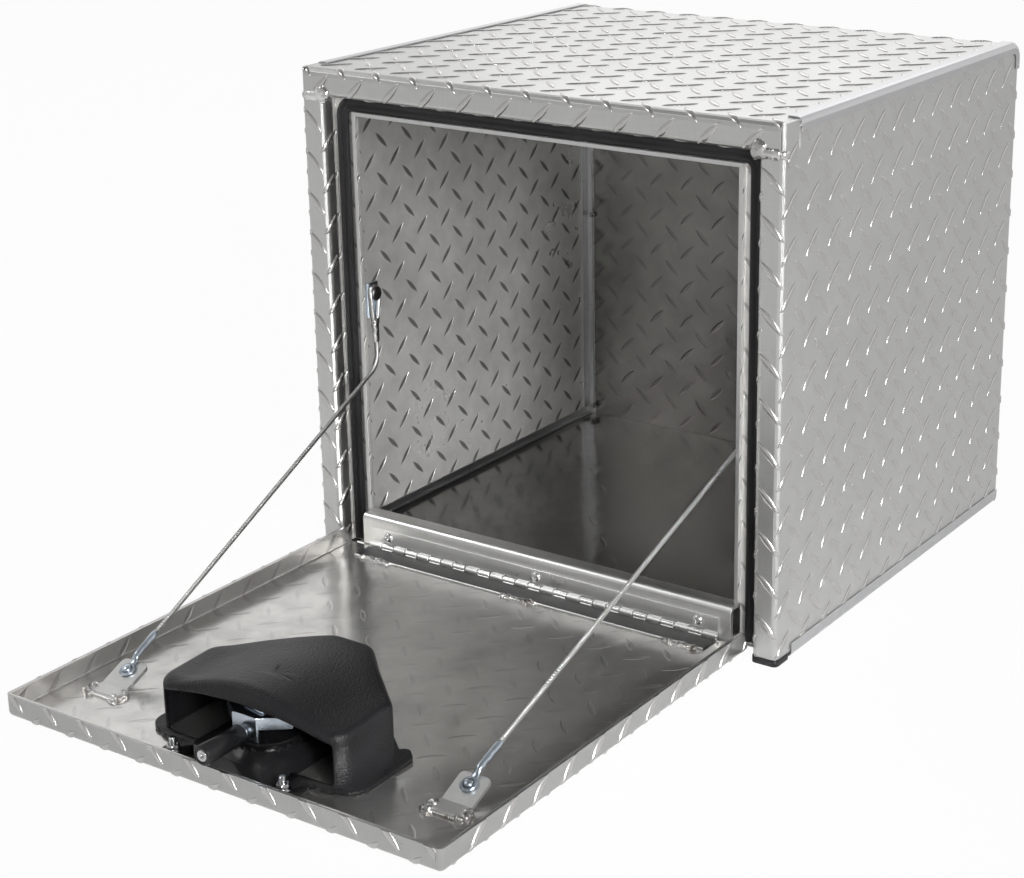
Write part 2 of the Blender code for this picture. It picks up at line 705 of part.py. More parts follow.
def make_bulb_seal(paint):
    corner = (SEAL_X, SEAL_TOP)
    path = [(-SEAL_X, SEAL_END), (-corner[0], corner[1]), corner, (SEAL_X, SEAL_END)]
    path = rounded(path, [0, SEAL_CORNER_RADIUS, SEAL_CORNER_RADIUS, 0], CORNER_STEPS)
    half = SEAL_WIDTH / 2
    base = FRONT + CHANNEL_DEPTH - GAP
    crest = FRONT + SEAL_CREST_DEPTH
    section = [
        (-half, base - SEAL_FOOT_CHAMFER),
        (-half, crest + SEAL_SHOULDER),
        (-half * 0.8, crest + SEAL_SHOULDER / 4),
        (-half * 0.5, crest),
        (-half * 0.2, crest + SEAL_SHOULDER / 4),
        (0, crest + SEAL_VALLEY),
        (half * 0.2, crest + SEAL_SHOULDER / 4),
        (half * 0.5, crest),
        (half * 0.8, crest + SEAL_SHOULDER / 4),
        (half, crest + SEAL_SHOULDER),
        (half, base - SEAL_FOOT_CHAMFER),
        (half - SEAL_FOOT_CHAMFER, base),
        (-half + SEAL_FOOT_CHAMFER, base),
    ]
    return swept("bulb_seal", section, path, lambda point, depth: (point.x, depth, point.y), paint)


def make_jamb_foot(side, paint):
    name = side_name(side)
    pad = rectangle(JAMB_X - FOOT_PROUD, FACE_X + FOOT_PROUD, FRONT - FOOT_PROUD, FRONT + FOOT_DEPTH, FOOT_RADIUS)
    foot = prism(f"jamb_foot_{name}", mirror_outline(pad, side), "Z", 0, JAMB_END - GAP, paint)
    inner = JAMB_X + SHEET + GAP
    front = FRONT + SHEET + GAP
    plug = rectangle(inner, WALL_X - GAP, front, front + PLUG_LENGTH, PLUG_RADIUS)
    bottom = (JAMB_END - GAP) / 2
    join(foot, prism(f"foot_plug_{name}", mirror_outline(plug, side), "Z", bottom, JAMB_END + PLUG_HEIGHT, None))
    return foot


def screw_places():
    return {"left": -SCREW_SPREAD, "middle": 0.0, "right": SCREW_SPREAD}


def make_sill_rail(paint):
    foot = FLOOR_TOP + GAP
    path = [
        (SILL_Y + SILL_FOOT, foot),
        (SILL_Y, foot),
        (SILL_Y, SILL_TOP),
        (SILL_Y + SILL_DEPTH, SILL_TOP),
    ]
    outline = folded(path, -SHEET, [0, FOLD_RADIUS, SILL_NOSE_RADIUS, 0], CORNER_STEPS)
    rail = prism("sill_rail", outline, "X", -SILL_HALF_LENGTH, SILL_HALF_LENGTH, paint)
    for name, x in screw_places().items():
        hole = circle(SCREW_RADIUS + FASTENER_CLEARANCE, SMALL_SIDES, (x, SCREW_HEIGHT))
        cut(rail, prism(f"rail_hole_{name}", hole, "Y", SILL_Y - OVERRUN, SILL_Y + SHEET + OVERRUN, None))
    return rail


def leaf_outline(length, upright):
    """Outline of a hinge leaf with its barrel, upright on the box or flat on the door."""
    shoulder = KNUCKLE_RADIUS - LEAF_THICKNESS
    lift = math.sqrt(KNUCKLE_RADIUS ** 2 - shoulder ** 2)
    start = math.atan2(lift, shoulder)
    outline = [Vector((KNUCKLE_RADIUS, 0)), Vector((KNUCKLE_RADIUS, length)), Vector((shoulder, length))]
    for i in range(SMALL_SIDES + 1):
        angle = start + (2 * math.pi - start) * i / (SMALL_SIDES + 1)
        outline.append(Vector((KNUCKLE_RADIUS * math.cos(angle), KNUCKLE_RADIUS * math.sin(angle))))
    if not upright:
        outline = [Vector((-p.y, -p.x)) for p in outline]
    return [Vector((PIN_Y + p.x, PIN_HEIGHT + p.y)) for p in outline]


def knuckle_cutter(name, parity):
    """Blocks that clear the other leaf's knuckles."""
    pitch = 2 * HINGE_HALF_LENGTH / KNUCKLES
    reach = KNUCKLE_RADIUS + GAP
    bm = bmesh.new()
    for k in range(parity, KNUCKLES, 2):
        low = -HINGE_HALF_LENGTH + pitch * k - KNUCKLE_GAP / 2
        high = low + pitch + KNUCKLE_GAP
        outline = rectangle(PIN_Y - reach, PIN_Y + reach, PIN_HEIGHT - reach, PIN_HEIGHT + reach)
        part = prism_mesh(outline, "X", low - (OVERRUN if k == 0 else 0), high + (OVERRUN if k == KNUCKLES - 1 else 0))
        piece = bpy.data.meshes.new(name)
        part.to_mesh(piece)
        part.free()
        bm.from_mesh(piece)
    return place(bm, name, None)


def make_hinge_leaf(name, length, upright, parity, paint):
    outline = leaf_outline(length, upright)
    leaf = prism(name, outline, "X", -HINGE_HALF_LENGTH, HINGE_HALF_LENGTH, paint)
    bore = circle(PIN_RADIUS + PIN_CLEARANCE, SMALL_SIDES, (PIN_Y, PIN_HEIGHT))
    reach = HINGE_HALF_LENGTH + OVERRUN
    cut(leaf, prism(f"{name}_bore", bore, "X", -reach, reach, None), knuckle_cutter(f"{name}_notches", parity))
    return leaf


def make_hinge(steel):
    box_leaf = make_hinge_leaf("hinge_box_leaf", BOX_LEAF_HEIGHT, True, 1, steel)
    for name, x in screw_places().items():
        hole = circle(SCREW_RADIUS + FASTENER_CLEARANCE, SMALL_SIDES, (x, SCREW_HEIGHT))
        depth = (BOX_LEAF_Y - OVERRUN / 2, BOX_LEAF_Y + LEAF_THICKNESS + OVERRUN / 2)
        cut(box_leaf, prism(f"leaf_hole_{name}", hole, "Y", *depth, None))
    make_hinge_leaf("hinge_door_leaf", DOOR_LEAF_DEPTH, False, 0, steel)
    half = HINGE_HALF_LENGTH + PIN_OVERHANG
    rod = circle(PIN_RADIUS, SMALL_SIDES)
    prism("hinge_pin", rod, "X", -half, half, steel, origin=(0, PIN_Y, PIN_HEIGHT))


def make_sill_screws(paint):
    for name, x in screw_places().items():
        profile = [
            (0, -SCREW_HEAD_HEIGHT),
            (SCREW_HEAD_RADIUS * 0.6, -SCREW_HEAD_HEIGHT * 0.9),
            (SCREW_HEAD_RADIUS * 0.9, -SCREW_HEAD_HEIGHT * 0.55),
            (SCREW_HEAD_RADIUS, 0),
            (SCREW_RADIUS, 0),
            (SCREW_RADIUS, SCREW_LENGTH),
            (0, SCREW_LENGTH + SCREW_RADIUS),
        ]
        turned(f"sill_screw_{name}", profile, "Y", paint, (x, BOX_LEAF_Y - GAP, SCREW_HEIGHT), sides=SMALL_SIDES)


def make_door_pan(paint):
    free = FRONT - DOOR_FREE_EDGE
    heel = FRONT + DOOR_HEEL
    pan = block("door_pan", (-DOOR_HALF_WIDTH, DOOR_HALF_WIDTH), (free, heel), (DOOR_FACE, DOOR_RIM))
    pan.data.materials.append(paint)

    def outer(a, b):
        low = near(a.z, DOOR_FACE) and near(b.z, DOOR_FACE)
        upright = near(a.y, free) and near(b.y, free) and near(a.x, b.x)
        return (low and not (near(a.y, heel) and near(b.y, heel))) or upright

    round_edges(pan, outer, DOOR_FOLD_RADIUS, CORNER_STEPS)
    inner_half = DOOR_HALF_WIDTH - SHEET
    inner_free = free + SHEET
    hollow = block(
        "door_hollow",
        (-inner_half, inner_half),
        (inner_free, heel + OVERRUN),
        (DOOR_SKIN, DOOR_RIM + OVERRUN),
    )

    def inner(a, b):
        low = near(a.z, DOOR_SKIN) and near(b.z, DOOR_SKIN)
        return low and not (near(a.y, heel + OVERRUN) and near(b.y, heel + OVERRUN))

    round_edges(hollow, inner, FOLD_RADIUS)
    cut(pan, hollow)
    for side in (-1, 1):
        slope = [
            (heel + OVERRUN, DOOR_SKIN + 2 * FOLD_RADIUS),
            (heel + OVERRUN, DOOR_RIM + OVERRUN),
            (heel - FLANGE_HEEL_CUT, DOOR_RIM + OVERRUN),
            (heel - FLANGE_HEEL_CUT, DOOR_RIM),
            (heel - DOOR_HEEL, DOOR_SKIN + 2 * FOLD_RADIUS),
        ]
        x = sorted((side * (inner_half - OVERRUN), side * (DOOR_HALF_WIDTH + OVERRUN)))
        cut(pan, prism(f"flange_heel_cut_{side_name(side)}", slope, "X", x[0], x[1], None))
    half = DISH_SIDE / 2 + GAP
    hole = rectangle(-half, half, LATCH_Y - half, LATCH_Y + half, DISH_CORNER, CORNER_STEPS)
    cut(pan, prism("dish_hole", hole, "Z", DOOR_FACE - OVERRUN, DOOR_SKIN + OVERRUN, None))
    return pan


def cable_frame(side):
    """Where the cable leaves the door, and the directions along it, up from its bracket and across."""
    low = Vector((side * CABLE_DOOR_X, FRONT - CABLE_LOW_REACH, CABLE_LOW_HEIGHT))
    turn = Vector((side * CABLE_BOX_X, FRONT + CABLE_TURN_DEPTH, CABLE_TURN_HEIGHT))
    along = (turn - low).normalized()
    slope = math.atan2(turn.z - low.z, turn.y - low.y)
    up = Vector((0, -math.sin(slope), math.cos(slope)))
    across = along.cross(up)
    return low, turn, along, up, across, slope


def make_door_bracket(side, paint):
    low, _, _, up, _, slope = cable_frame(side)
    name = side_name(side)
    under = low - up * (FERRULE_RADIUS + GAP + BRACKET_THICKNESS)
    heel = under.y - (under.z - SEAT) / math.tan(slope)
    end = under + Vector((0, math.cos(slope), math.sin(slope))) * BRACKET_END
    path = [(heel - BRACKET_FOOT, SEAT), (heel, SEAT), (end.y, end.z)]
    outline = folded(path, BRACKET_THICKNESS, [0, FOLD_RADIUS, 0])
    x = (side * CABLE_DOOR_X - BRACKET_WIDTH / 2, side * CABLE_DOOR_X + BRACKET_WIDTH / 2)
    bracket = prism(f"door_bracket_{name}", outline, "X", x[0], x[1], paint)

    def corner(a, b):
        tip = end.y - BRACKET_THICKNESS
        return near(a.x, b.x) and a.y > tip and b.y > tip

    round_edges(bracket, corner, BRACKET_CORNER)
    hole = circle(RIVET_RADIUS + FASTENER_CLEARANCE, SMALL_SIDES)
    reach = BRACKET_THICKNESS + OVERRUN
    cut(bracket, prism(f"bracket_hole_{name}", hole, "Z", -reach, reach, None, under, (slope, 0, 0)))
    return bracket


def make_door_eye(side, paint):
    low, _, along, up, across, _ = cable_frame(side)
    name = side_name(side)
    outline = circle(EYE_RADIUS, SMALL_SIDES)
    plate = -FERRULE_RADIUS
    eye = prism(f"door_eye_{name}", outline, "Z", plate, plate + EYE_THICKNESS, paint)
    neck = rectangle(-EYE_NECK / 2, EYE_NECK / 2, 0, FERRULE_START + OVERRUN)
    sleeve = [
        (0, FERRULE_START - OVERRUN),
        (FERRULE_RADIUS * 0.8, FERRULE_START - OVERRUN),
        (FERRULE_RADIUS, FERRULE_START),
        (FERRULE_RADIUS, FERRULE_END - OVERRUN),
        (FERRULE_RADIUS * 0.8, FERRULE_END),
        (0, FERRULE_END),
    ]
    hole = circle(RIVET_RADIUS + FASTENER_CLEARANCE, SMALL_SIDES)
    parts = [
        prism(f"eye_neck_{name}", neck, "Z", plate, plate + EYE_THICKNESS, None),
        turned(f"eye_sleeve_{name}", sleeve, "Y", None, sides=SMALL_SIDES),
    ]
    bore = prism(f"eye_hole_{name}", hole, "Z", plate - OVERRUN, plate + EYE_THICKNESS + OVERRUN, None)
    join(eye, *parts)
    cut(eye, bore)
    turn = Matrix((across, along, up)).transposed().to_euler()
    for obj in [eye, bore] + parts:
        obj.location = low
        obj.rotation_euler = turn
    return eye


def make_door_rivet(side, paint):
    low, _, _, up, _, slope = cable_frame(side)
    top = -FERRULE_RADIUS + EYE_THICKNESS + GAP
    bottom = -FERRULE_RADIUS - 2 * GAP - BRACKET_THICKNESS
    profile = [
        (0, top + RIVET_HEAD_HEIGHT),
        (RIVET_HEAD_RADIUS * 0.6, top + RIVET_HEAD_HEIGHT * 0.85),
        (RIVET_HEAD_RADIUS, top),
        (RIVET_RADIUS, top),
        (RIVET_RADIUS, bottom),
        (RIVET_TAIL_RADIUS, bottom),
        (RIVET_TAIL_RADIUS * 0.7, bottom - RIVET_HEAD_HEIGHT / 2),
        (0, bottom - RIVET_HEAD_HEIGHT / 2),
    ]
    return turned(f"door_rivet_{side_name(side)}", profile, "Z", paint, low, (slope, 0, 0), SMALL_SIDES)


def anchor_face():
    """The face of the upper bracket that the cable's loop hangs beside."""
    return CABLE_BOX_X + CABLE_RADIUS + LOOP_CLEARANCE


def make_cable_anchor(side, paint):
    name = side_name(side)
    lip_back = FRONT + CHANNEL_DEPTH + SHEET + GAP
    x = anchor_face()
    path = [
        (x + ANCHOR_LIP_LEG, lip_back),
        (x, lip_back),
        (x, lip_back + ANCHOR_REACH),
    ]
    outline = folded(path, -ANCHOR_THICKNESS, [0, FOLD_RADIUS, 0])
    levels = (LOOP_PIN_HEIGHT - ANCHOR_DROP, LOOP_PIN_HEIGHT + ANCHOR_RISE)
    anchor = prism(f"cable_anchor_{name}", mirror_outline(outline, side), "Z", *levels, paint)
    hole = circle(RIVET_RADIUS + FASTENER_CLEARANCE, SMALL_SIDES, (FRONT + CABLE_TURN_DEPTH, LOOP_PIN_HEIGHT))
    reach = sorted((side * (x - OVERRUN), side * (x + ANCHOR_THICKNESS + OVERRUN)))
    cut(anchor, prism(f"anchor_hole_{name}", hole, "X", reach[0], reach[1], None))
    return anchor


def make_anchor_pin(side, paint):
    face = anchor_face()
    inner = CABLE_BOX_X - CABLE_RADIUS - LOOP_CLEARANCE
    back = face + ANCHOR_THICKNESS + GAP
    profile = [
        (0, side * (inner - RIVET_HEAD_HEIGHT)),
        (LOOP_HEAD_RADIUS * 0.8, side * (inner - RIVET_HEAD_HEIGHT)),
        (LOOP_HEAD_RADIUS, side * (inner - RIVET_HEAD_HEIGHT / 2)),
        (LOOP_HEAD_RADIUS, side * inner),
        (LOOP_PIN_RADIUS, side * inner),
        (LOOP_PIN_RADIUS, side * (face - GAP)),
        (RIVET_RADIUS, side * (face - GAP)),
        (RIVET_RADIUS, side * back),
        (RIVET_TAIL_RADIUS, side * back),
        (RIVET_TAIL_RADIUS, side * (back + RIVET_HEAD_HEIGHT / 2)),
        (0, side * (back + RIVET_HEAD_HEIGHT / 2)),
    ]
    origin = (0, FRONT + CABLE_TURN_DEPTH, LOOP_PIN_HEIGHT)
    return turned(f"anchor_pin_{side_name(side)}", profile, "X", paint, origin, sides=SMALL_SIDES)


def make_cable_loop(side, paint):
    """The wire-rope loop round the anchor's pin, with the sleeve pressed on below it."""
    name = side_name(side)
    origin = Vector((side * CABLE_BOX_X, FRONT + CABLE_TURN_DEPTH, LOOP_PIN_HEIGHT))
    throat = CABLE_RADIUS * 1.2
    path = [(LOOP_BEND_RADIUS * math.cos(a), LOOP_BEND_RADIUS * math.sin(a))
            for a in [math.pi * i / 8 for i in range(9)]]
    path += [(-throat, -LOOP_LENGTH), (throat, -LOOP_LENGTH)]
    count = len(path)
    rings = []
    for i, point in enumerate(path):
        tangent = (Vector(path[(i + 1) % count]) - Vector(path[i - 1])).normalized()
        outward = Vector((tangent.y, -tangent.x))
        ring = []
        for spoke in circle(CABLE_RADIUS, 8):
            centre = Vector(point) + outward * spoke.x
            ring.append((spoke.y, centre.x, centre.y))
        rings.append(ring)
    loop = place(rings_mesh(rings, closed=True), f"cable_loop_{name}", paint, origin)
    top = OVERRUN * 1.5 - LOOP_LENGTH
    profile = [
        (0, top),
        (SLEEVE_RADIUS * 0.8, top),
        (SLEEVE_RADIUS, top - OVERRUN / 2),
        (SLEEVE_RADIUS, top + OVERRUN / 2 - SLEEVE_LENGTH),
        (SLEEVE_RADIUS * 0.8, top - SLEEVE_LENGTH),
        (0, top - SLEEVE_LENGTH),
    ]
    join(loop, turned(f"loop_sleeve_{name}", profile, "Z", None, origin, sides=SMALL_SIDES))
    return loop


def cable_route(side):
    """Points along the cable from the sleeve on the box to the ferrule on the door."""
    low, turn, along, _, _, _ = cable_frame(side)
    top = turn.copy()
    top.z = LOOP_PIN_HEIGHT - LOOP_LENGTH + OVERRUN * 1.5 - SLEEVE_LENGTH - GAP
    start = turn + Vector((0, 0, CABLE_TURN_LENGTH))
    end = turn - along * CABLE_TURN_LENGTH
    route = [top]
    steps = 8
    for k in range(steps + 1):
        t = k / steps
        route.append(start * (1 - t) ** 2 + turn * 2 * t * (1 - t) + end * t ** 2)
    last = low + along * (FERRULE_END + GAP)
    count = max(1, round((end - last).length / CABLE_STEP))
    route += [end.lerp(last, k / count) for k in range(1, count + 1)]
    return route


def make_cable(side, paint):
    curve = bpy.data.curves.new(f"cable_{side_name(side)}", "CURVE")
    curve.dimensions = "3D"
    curve.bevel_depth = CABLE_RADIUS
    curve.bevel_resolution = 2
    curve.use_fill_caps = True
    route = cable_route(side)
    spline = curve.splines.new("POLY")
    spline.points.add(len(route) - 1)
    for point, where in zip(spline.points, route):
        point.co = (*where, 1.0)
    cable = bpy.data.objects.new(f"cable_{side_name(side)}", curve)
    bpy.context.collection.objects.link(cable)
    curve.materials.append(paint)
    return cable


def at_latch(height=0.0):
    return (0, LATCH_Y, height)


def make_latch_dish(paint):
    half = DISH_SIDE / 2
    square = rectangle(-half, half, -half, half, DISH_CORNER, CORNER_STEPS)
    flange_top = DOOR_FACE - 2 * GAP - GASKET_THICKNESS
    flange_bottom = flange_top - DISH_FLANGE_THICKNESS
    roof_top = DISH_ROOF + DISH_ROOF_THICKNESS
    dish = prism("latch_dish", square, "Z", flange_bottom, roof_top, paint, at_latch())
    wide = half + DISH_FLANGE
    rim = rectangle(-wide, wide, -wide, wide, DISH_CORNER + DISH_FLANGE, CORNER_STEPS)
    hub = [
        (0, DISH_ROOF),
        (HUB_RADIUS, DISH_ROOF),
        (HUB_RADIUS, HUB_TOP - HUB_RIM_HEIGHT),
        (HUB_RADIUS + HUB_RIM, HUB_TOP - HUB_RIM_HEIGHT),
        (HUB_RADIUS + HUB_RIM, HUB_TOP),
        (0, HUB_TOP),
    ]
    join(
        dish,
        prism("dish_flange", rim, "Z", flange_bottom, flange_top, None, at_latch()),
        turned("dish_hub", hub, "Z", None, at_latch()),
    )
    recess = circle(DISH_RECESS_RADIUS, ROUND_SIDES * 2)
    bore = circle(SPINDLE_RADIUS + SPINDLE_CLEARANCE)
    cut(
        dish,
        prism("dish_recess", recess, "Z", flange_bottom - OVERRUN, DISH_ROOF, None, at_latch()),
        prism("spindle_bore", bore, "Z", DISH_ROOF - OVERRUN, HUB_TOP + OVERRUN, None, at_latch()),
    )
    return dish


def make_latch_gasket(paint):
    half = DISH_SIDE / 2
    wide = half + DISH_FLANGE
    rim = rectangle(-wide, wide, -wide, wide, DISH_CORNER + DISH_FLANGE, CORNER_STEPS)
    top = DOOR_FACE - GAP
    gasket = prism("latch_gasket", rim, "Z", top - GASKET_THICKNESS, top, paint, at_latch())
    inner = half + GAP
    hole = rectangle(-inner, inner, -inner, inner, DISH_CORNER, CORNER_STEPS)
    cut(gasket, prism("gasket_hole", hole, "Z", 0, DOOR_SKIN, None, at_latch()))
    return gasket


def make_spindle(paint):
    shoulder = ARM_HEIGHT - GAP
    profile = [
        (0, YOKE_BASE),
        (YOKE_RADIUS, YOKE_BASE),
        (YOKE_RADIUS, DISH_ROOF - GAP),
        (SPINDLE_RADIUS, DISH_ROOF - GAP),
        (SPINDLE_RADIUS, shoulder),
        (SPINDLE_THREAD_RADIUS, shoulder),
        (SPINDLE_THREAD_RADIUS, SPINDLE_THREAD_END),
        (0, SPINDLE_THREAD_END),
    ]
    spindle = turned("latch_spindle", profile, "Z", paint, at_latch())
    inner = HANDLE_STEM_WIDTH / 2 + GAP
    low = HANDLE_PIN_HEIGHT - HANDLE_THICKNESS / 2
    for side in (-1, 1):
        x = sorted((side * inner, side * (inner + YOKE_EAR_THICKNESS)))
        ear = rectangle(-YOKE_EAR_LENGTH / 2, YOKE_EAR_LENGTH / 2, low, YOKE_BASE + GAP)
        join(spindle, prism(f"yoke_ear_{side_name(side)}", ear, "X", x[0], x[1], None, at_latch()))
    hole = circle(HANDLE_PIN_RADIUS + FASTENER_CLEARANCE, SMALL_SIDES, (0, HANDLE_PIN_HEIGHT))
    reach = inner + YOKE_EAR_THICKNESS + OVERRUN
    cut(spindle, prism("yoke_hole", hole, "X", -reach, reach, None, at_latch()))
    return spindle


def make_handle(metal, steel):
    pivot = at_latch(HANDLE_PIN_HEIGHT)
    half = HANDLE_THICKNESS / 2
    width = HANDLE_STEM_WIDTH / 2
    stem = rectangle(-half, HANDLE_STEM_LENGTH, -half, half)
    handle = prism("t_handle", stem, "X", -width, width, metal, pivot)
    round_edges(handle, lambda a, b: near(a.y, -half) and near(b.y, -half) and near(a.z, b.z), half * 0.98)
    bar_half = HANDLE_BAR_WIDTH / 2
    bar = rectangle(
        HANDLE_STEM_LENGTH - bar_half, HANDLE_STEM_LENGTH + bar_half, -half, half, HANDLE_BAR_RADIUS)
    reach = HANDLE_BAR_LENGTH / 2
    boss = circle(HANDLE_BOSS_RADIUS)
    boss_origin = (0, LATCH_Y + HANDLE_STEM_LENGTH, HANDLE_PIN_HEIGHT)
    join(
        handle,
        prism("handle_bar", bar, "X", -reach, reach, None, pivot),
        prism("handle_boss", boss, "Z", -half, half * 0.9, None, boss_origin),
    )
    eye = circle(HANDLE_PIN_RADIUS + FASTENER_CLEARANCE, SMALL_SIDES)
    well = circle(LOCK_RADIUS + GAP)
    cut(
        handle,
        prism("handle_eye", eye, "X", -width - OVERRUN, width + OVERRUN, None, pivot),
        prism("lock_well", well, "Z", -half - OVERRUN, LOCK_LENGTH - half + GAP, None, boss_origin),
    )
    pin_half = width + GAP + YOKE_EAR_THICKNESS
    rod = circle(HANDLE_PIN_RADIUS, SMALL_SIDES)
    prism("handle_pin", rod, "X", -pin_half, pin_half, steel, pivot)
    plug = [
        (0, -half - LOCK_PROUD),
        (LOCK_RADIUS * 0.9, -half - LOCK_PROUD),
        (LOCK_RADIUS, -half),
        (LOCK_RADIUS, LOCK_LENGTH - half),
        (0, LOCK_LENGTH - half),
    ]
    lock = turned("lock_plug", plug, "Z", steel, boss_origin)
    slot = rectangle(-KEY_SLOT_LENGTH / 2, KEY_SLOT_LENGTH / 2, -KEY_SLOT_WIDTH / 2, KEY_SLOT_WIDTH / 2)
    cut(lock, prism("key_slot", slot, "Z", -half - OVERRUN, KEY_SLOT_DEPTH - half, None, boss_origin))


def make_latch_arm(paint):
    tab = ARM_TAB_WIDTH / 2
    wing = ARM_WING_REACH
    front = ARM_THICKNESS / 2 - ARM_TAB_REACH
    outline = [
        (-tab, front),
        (tab, front),
        (wing, -ARM_HUB_RADIUS / 2),
        (wing, ARM_HUB_RADIUS / 2),
        (ARM_HUB_RADIUS / 2, ARM_HUB_RADIUS),
        (-ARM_HUB_RADIUS / 2, ARM_HUB_RADIUS),
        (-ARM_HUB_RADIUS - tab / 2, 0),
    ]
    radii_shares = [0, 0, 0.3, 0.3, 0.4, 0.4, 0.5]
    outline = rounded(outline, [s * ARM_HUB_RADIUS for s in radii_shares], FOLD_STEPS, closed=True)
    top = ARM_HEIGHT + ARM_THICKNESS
    arm = prism("latch_arm", outline, "Z", ARM_HEIGHT, top, paint, at_latch())
    upright = rectangle(-tab, tab, ARM_TAB_BOTTOM, top - GAP, ARM_THICKNESS)
    depth = (-ARM_TAB_REACH, ARM_THICKNESS - ARM_TAB_REACH)
    edge = Vector((wing, -ARM_HUB_RADIUS / 2)) - Vector((tab, front))
    along = edge.normalized()
    inward = Vector((-along.y, along.x))
    start = Vector((tab, front)) + inward * GAP
    corners = [
        start + along * ARM_THICKNESS,
        start + edge * 0.8,
        start + edge * 0.8 + inward * ARM_THICKNESS,
        start + along * ARM_THICKNESS + inward * ARM_THICKNESS,
    ]
    join(
        arm,
        prism("arm_tab", upright, "Y", depth[0], depth[1], None, at_latch()),
        prism("arm_wing_drop", corners, "Z", ARM_HEIGHT - ARM_WING_DROP, top - GAP, None, at_latch()),
    )
    bore = circle(SPINDLE_THREAD_RADIUS + GAP)
    bolt_hole = circle(BOLT_RADIUS + FASTENER_CLEARANCE, SMALL_SIDES, (0, ROLLER_HEIGHT))
    cut(
        arm,
        prism("arm_bore", bore, "Z", ARM_HEIGHT - OVERRUN, top + OVERRUN, None, at_latch()),
        prism("arm_bolt_hole", bolt_hole, "Y", depth[0] - OVERRUN, depth[1] + OVERRUN, None, at_latch()),
    )
    return arm


def make_cam_plate(paint):
    low = ARM_HEIGHT + ARM_THICKNESS + GAP
    half = CAM_PLATE_WIDTH / 2
    outline = [
        (-half, -CAM_PLATE_LENGTH * 0.45),
        (half, -CAM_PLATE_LENGTH * 0.65),
        (half * 1.3, 0),
        (half * 0.6, CAM_PLATE_LENGTH * 0.35),
        (-half * 0.8, CAM_PLATE_LENGTH * 0.35),
    ]
    outline = rounded(outline, [half * 0.25] * len(outline), FOLD_STEPS, closed=True)
    plate = prism("cam_plate", outline, "Z", low, low + CAM_PLATE_THICKNESS, paint, at_latch())
    bore = circle(SPINDLE_THREAD_RADIUS + GAP)
    cut(plate, prism("cam_bore", bore, "Z", low - OVERRUN, low + CAM_PLATE_THICKNESS + OVERRUN, None, at_latch()))
    return plate


def make_nut(name, flats, height, bore_radius, axis, origin, paint):
    """A hexagon nut that starts at its origin and runs along an axis."""
    nut = prism(name, hexagon(flats), axis, 0, height, paint, origin)
    hole = circle(bore_radius, SMALL_SIDES)
    cut(nut, prism(f"{name}_bore", hole, axis, -OVERRUN, height + OVERRUN, None, origin))
    return nut


def make_roller(rubber, steel):
    tab_front = LATCH_Y - ARM_TAB_REACH
    collar = tab_front - GAP - BOLT_COLLAR_LENGTH
    start = collar - GAP
    end = start - ROLLER_LENGTH
    chamfer = ROLLER_CHAMFER
    well = end + ROLLER_WELL_DEPTH + GAP
    profile = [
        (ROLLER_BORE_RADIUS, start),
        (ROLLER_RADIUS - chamfer, start),
        (ROLLER_RADIUS, start - chamfer),
        (ROLLER_RADIUS, end + chamfer),
        (ROLLER_RADIUS - chamfer, end),
        (ROLLER_WELL_RADIUS, end),
        (ROLLER_WELL_RADIUS, well),
        (ROLLER_BORE_RADIUS, well),
    ]
    axis_origin = (0, 0, ROLLER_HEIGHT)
    turned("latch_roller", profile, "Y", rubber, axis_origin)
    head = well - GAP
    nut_start = tab_front + ARM_THICKNESS + GAP
    bolt = [
        (0, head - BOLT_HEAD_HEIGHT),
        (BOLT_HEAD_RADIUS * 0.9, head - BOLT_HEAD_HEIGHT),
        (BOLT_HEAD_RADIUS, head - BOLT_HEAD_HEIGHT * 0.8),
        (BOLT_HEAD_RADIUS, head),
        (BOLT_RADIUS, head),
        (BOLT_RADIUS, collar),
        (BOLT_COLLAR_RADIUS, collar),
        (BOLT_COLLAR_RADIUS, tab_front - GAP),
        (BOLT_RADIUS, tab_front - GAP),
        (BOLT_RADIUS, nut_start + BOLT_NUT_HEIGHT + GAP),
        (0, nut_start + BOLT_NUT_HEIGHT + GAP),
    ]
    pin = turned("roller_bolt", bolt, "Y", steel, axis_origin)
    socket = hexagon(BOLT_SOCKET_FLATS)
    mouth = head - BOLT_HEAD_HEIGHT
    cut(pin, prism("bolt_socket", socket, "Y", mouth - OVERRUN, mouth + BOLT_SOCKET_DEPTH, None, axis_origin))
    origin = (0, nut_start, ROLLER_HEIGHT)
    make_nut("roller_nut", BOLT_NUT_FLATS, BOLT_NUT_HEIGHT, BOLT_RADIUS + GAP, "Y", origin, steel)


def cover_plan(inset):
    """The cover's outline seen from above, drawn in by inset, with points all along its long edges."""
    plan = cover_corners(inset)
    full = cover_corners(0.0)
    points = []
    for i, start in enumerate(plan):
        j = (i + 1) % len(plan)
        count = max(1, round((full[j] - full[i]).length / COVER_STEP))
        points += [start.lerp(plan[j], k / count) for k in range(count)]
    return points


def cover_corners(inset):
    """The corners and corner arcs of the cover's outline."""
    half = COVER_HALF_WIDTH
    right = [
        (half, COVER_FRONT_Y),
        (half, COVER_SIDE_Y),
        (COVER_SLANT_HALF_WIDTH, COVER_SLANT_Y),
        (COVER_REAR_HALF_WIDTH, COVER_REAR_Y),
    ]
    corners = right + [(-x, y) for x, y in reversed(right)]
    moved = offset_line(corners, inset, closed=True)
    radius = COVER_CORNER_RADIUS - inset
    return rounded(moved, [radius] * len(moved), CORNER_STEPS, closed=True)


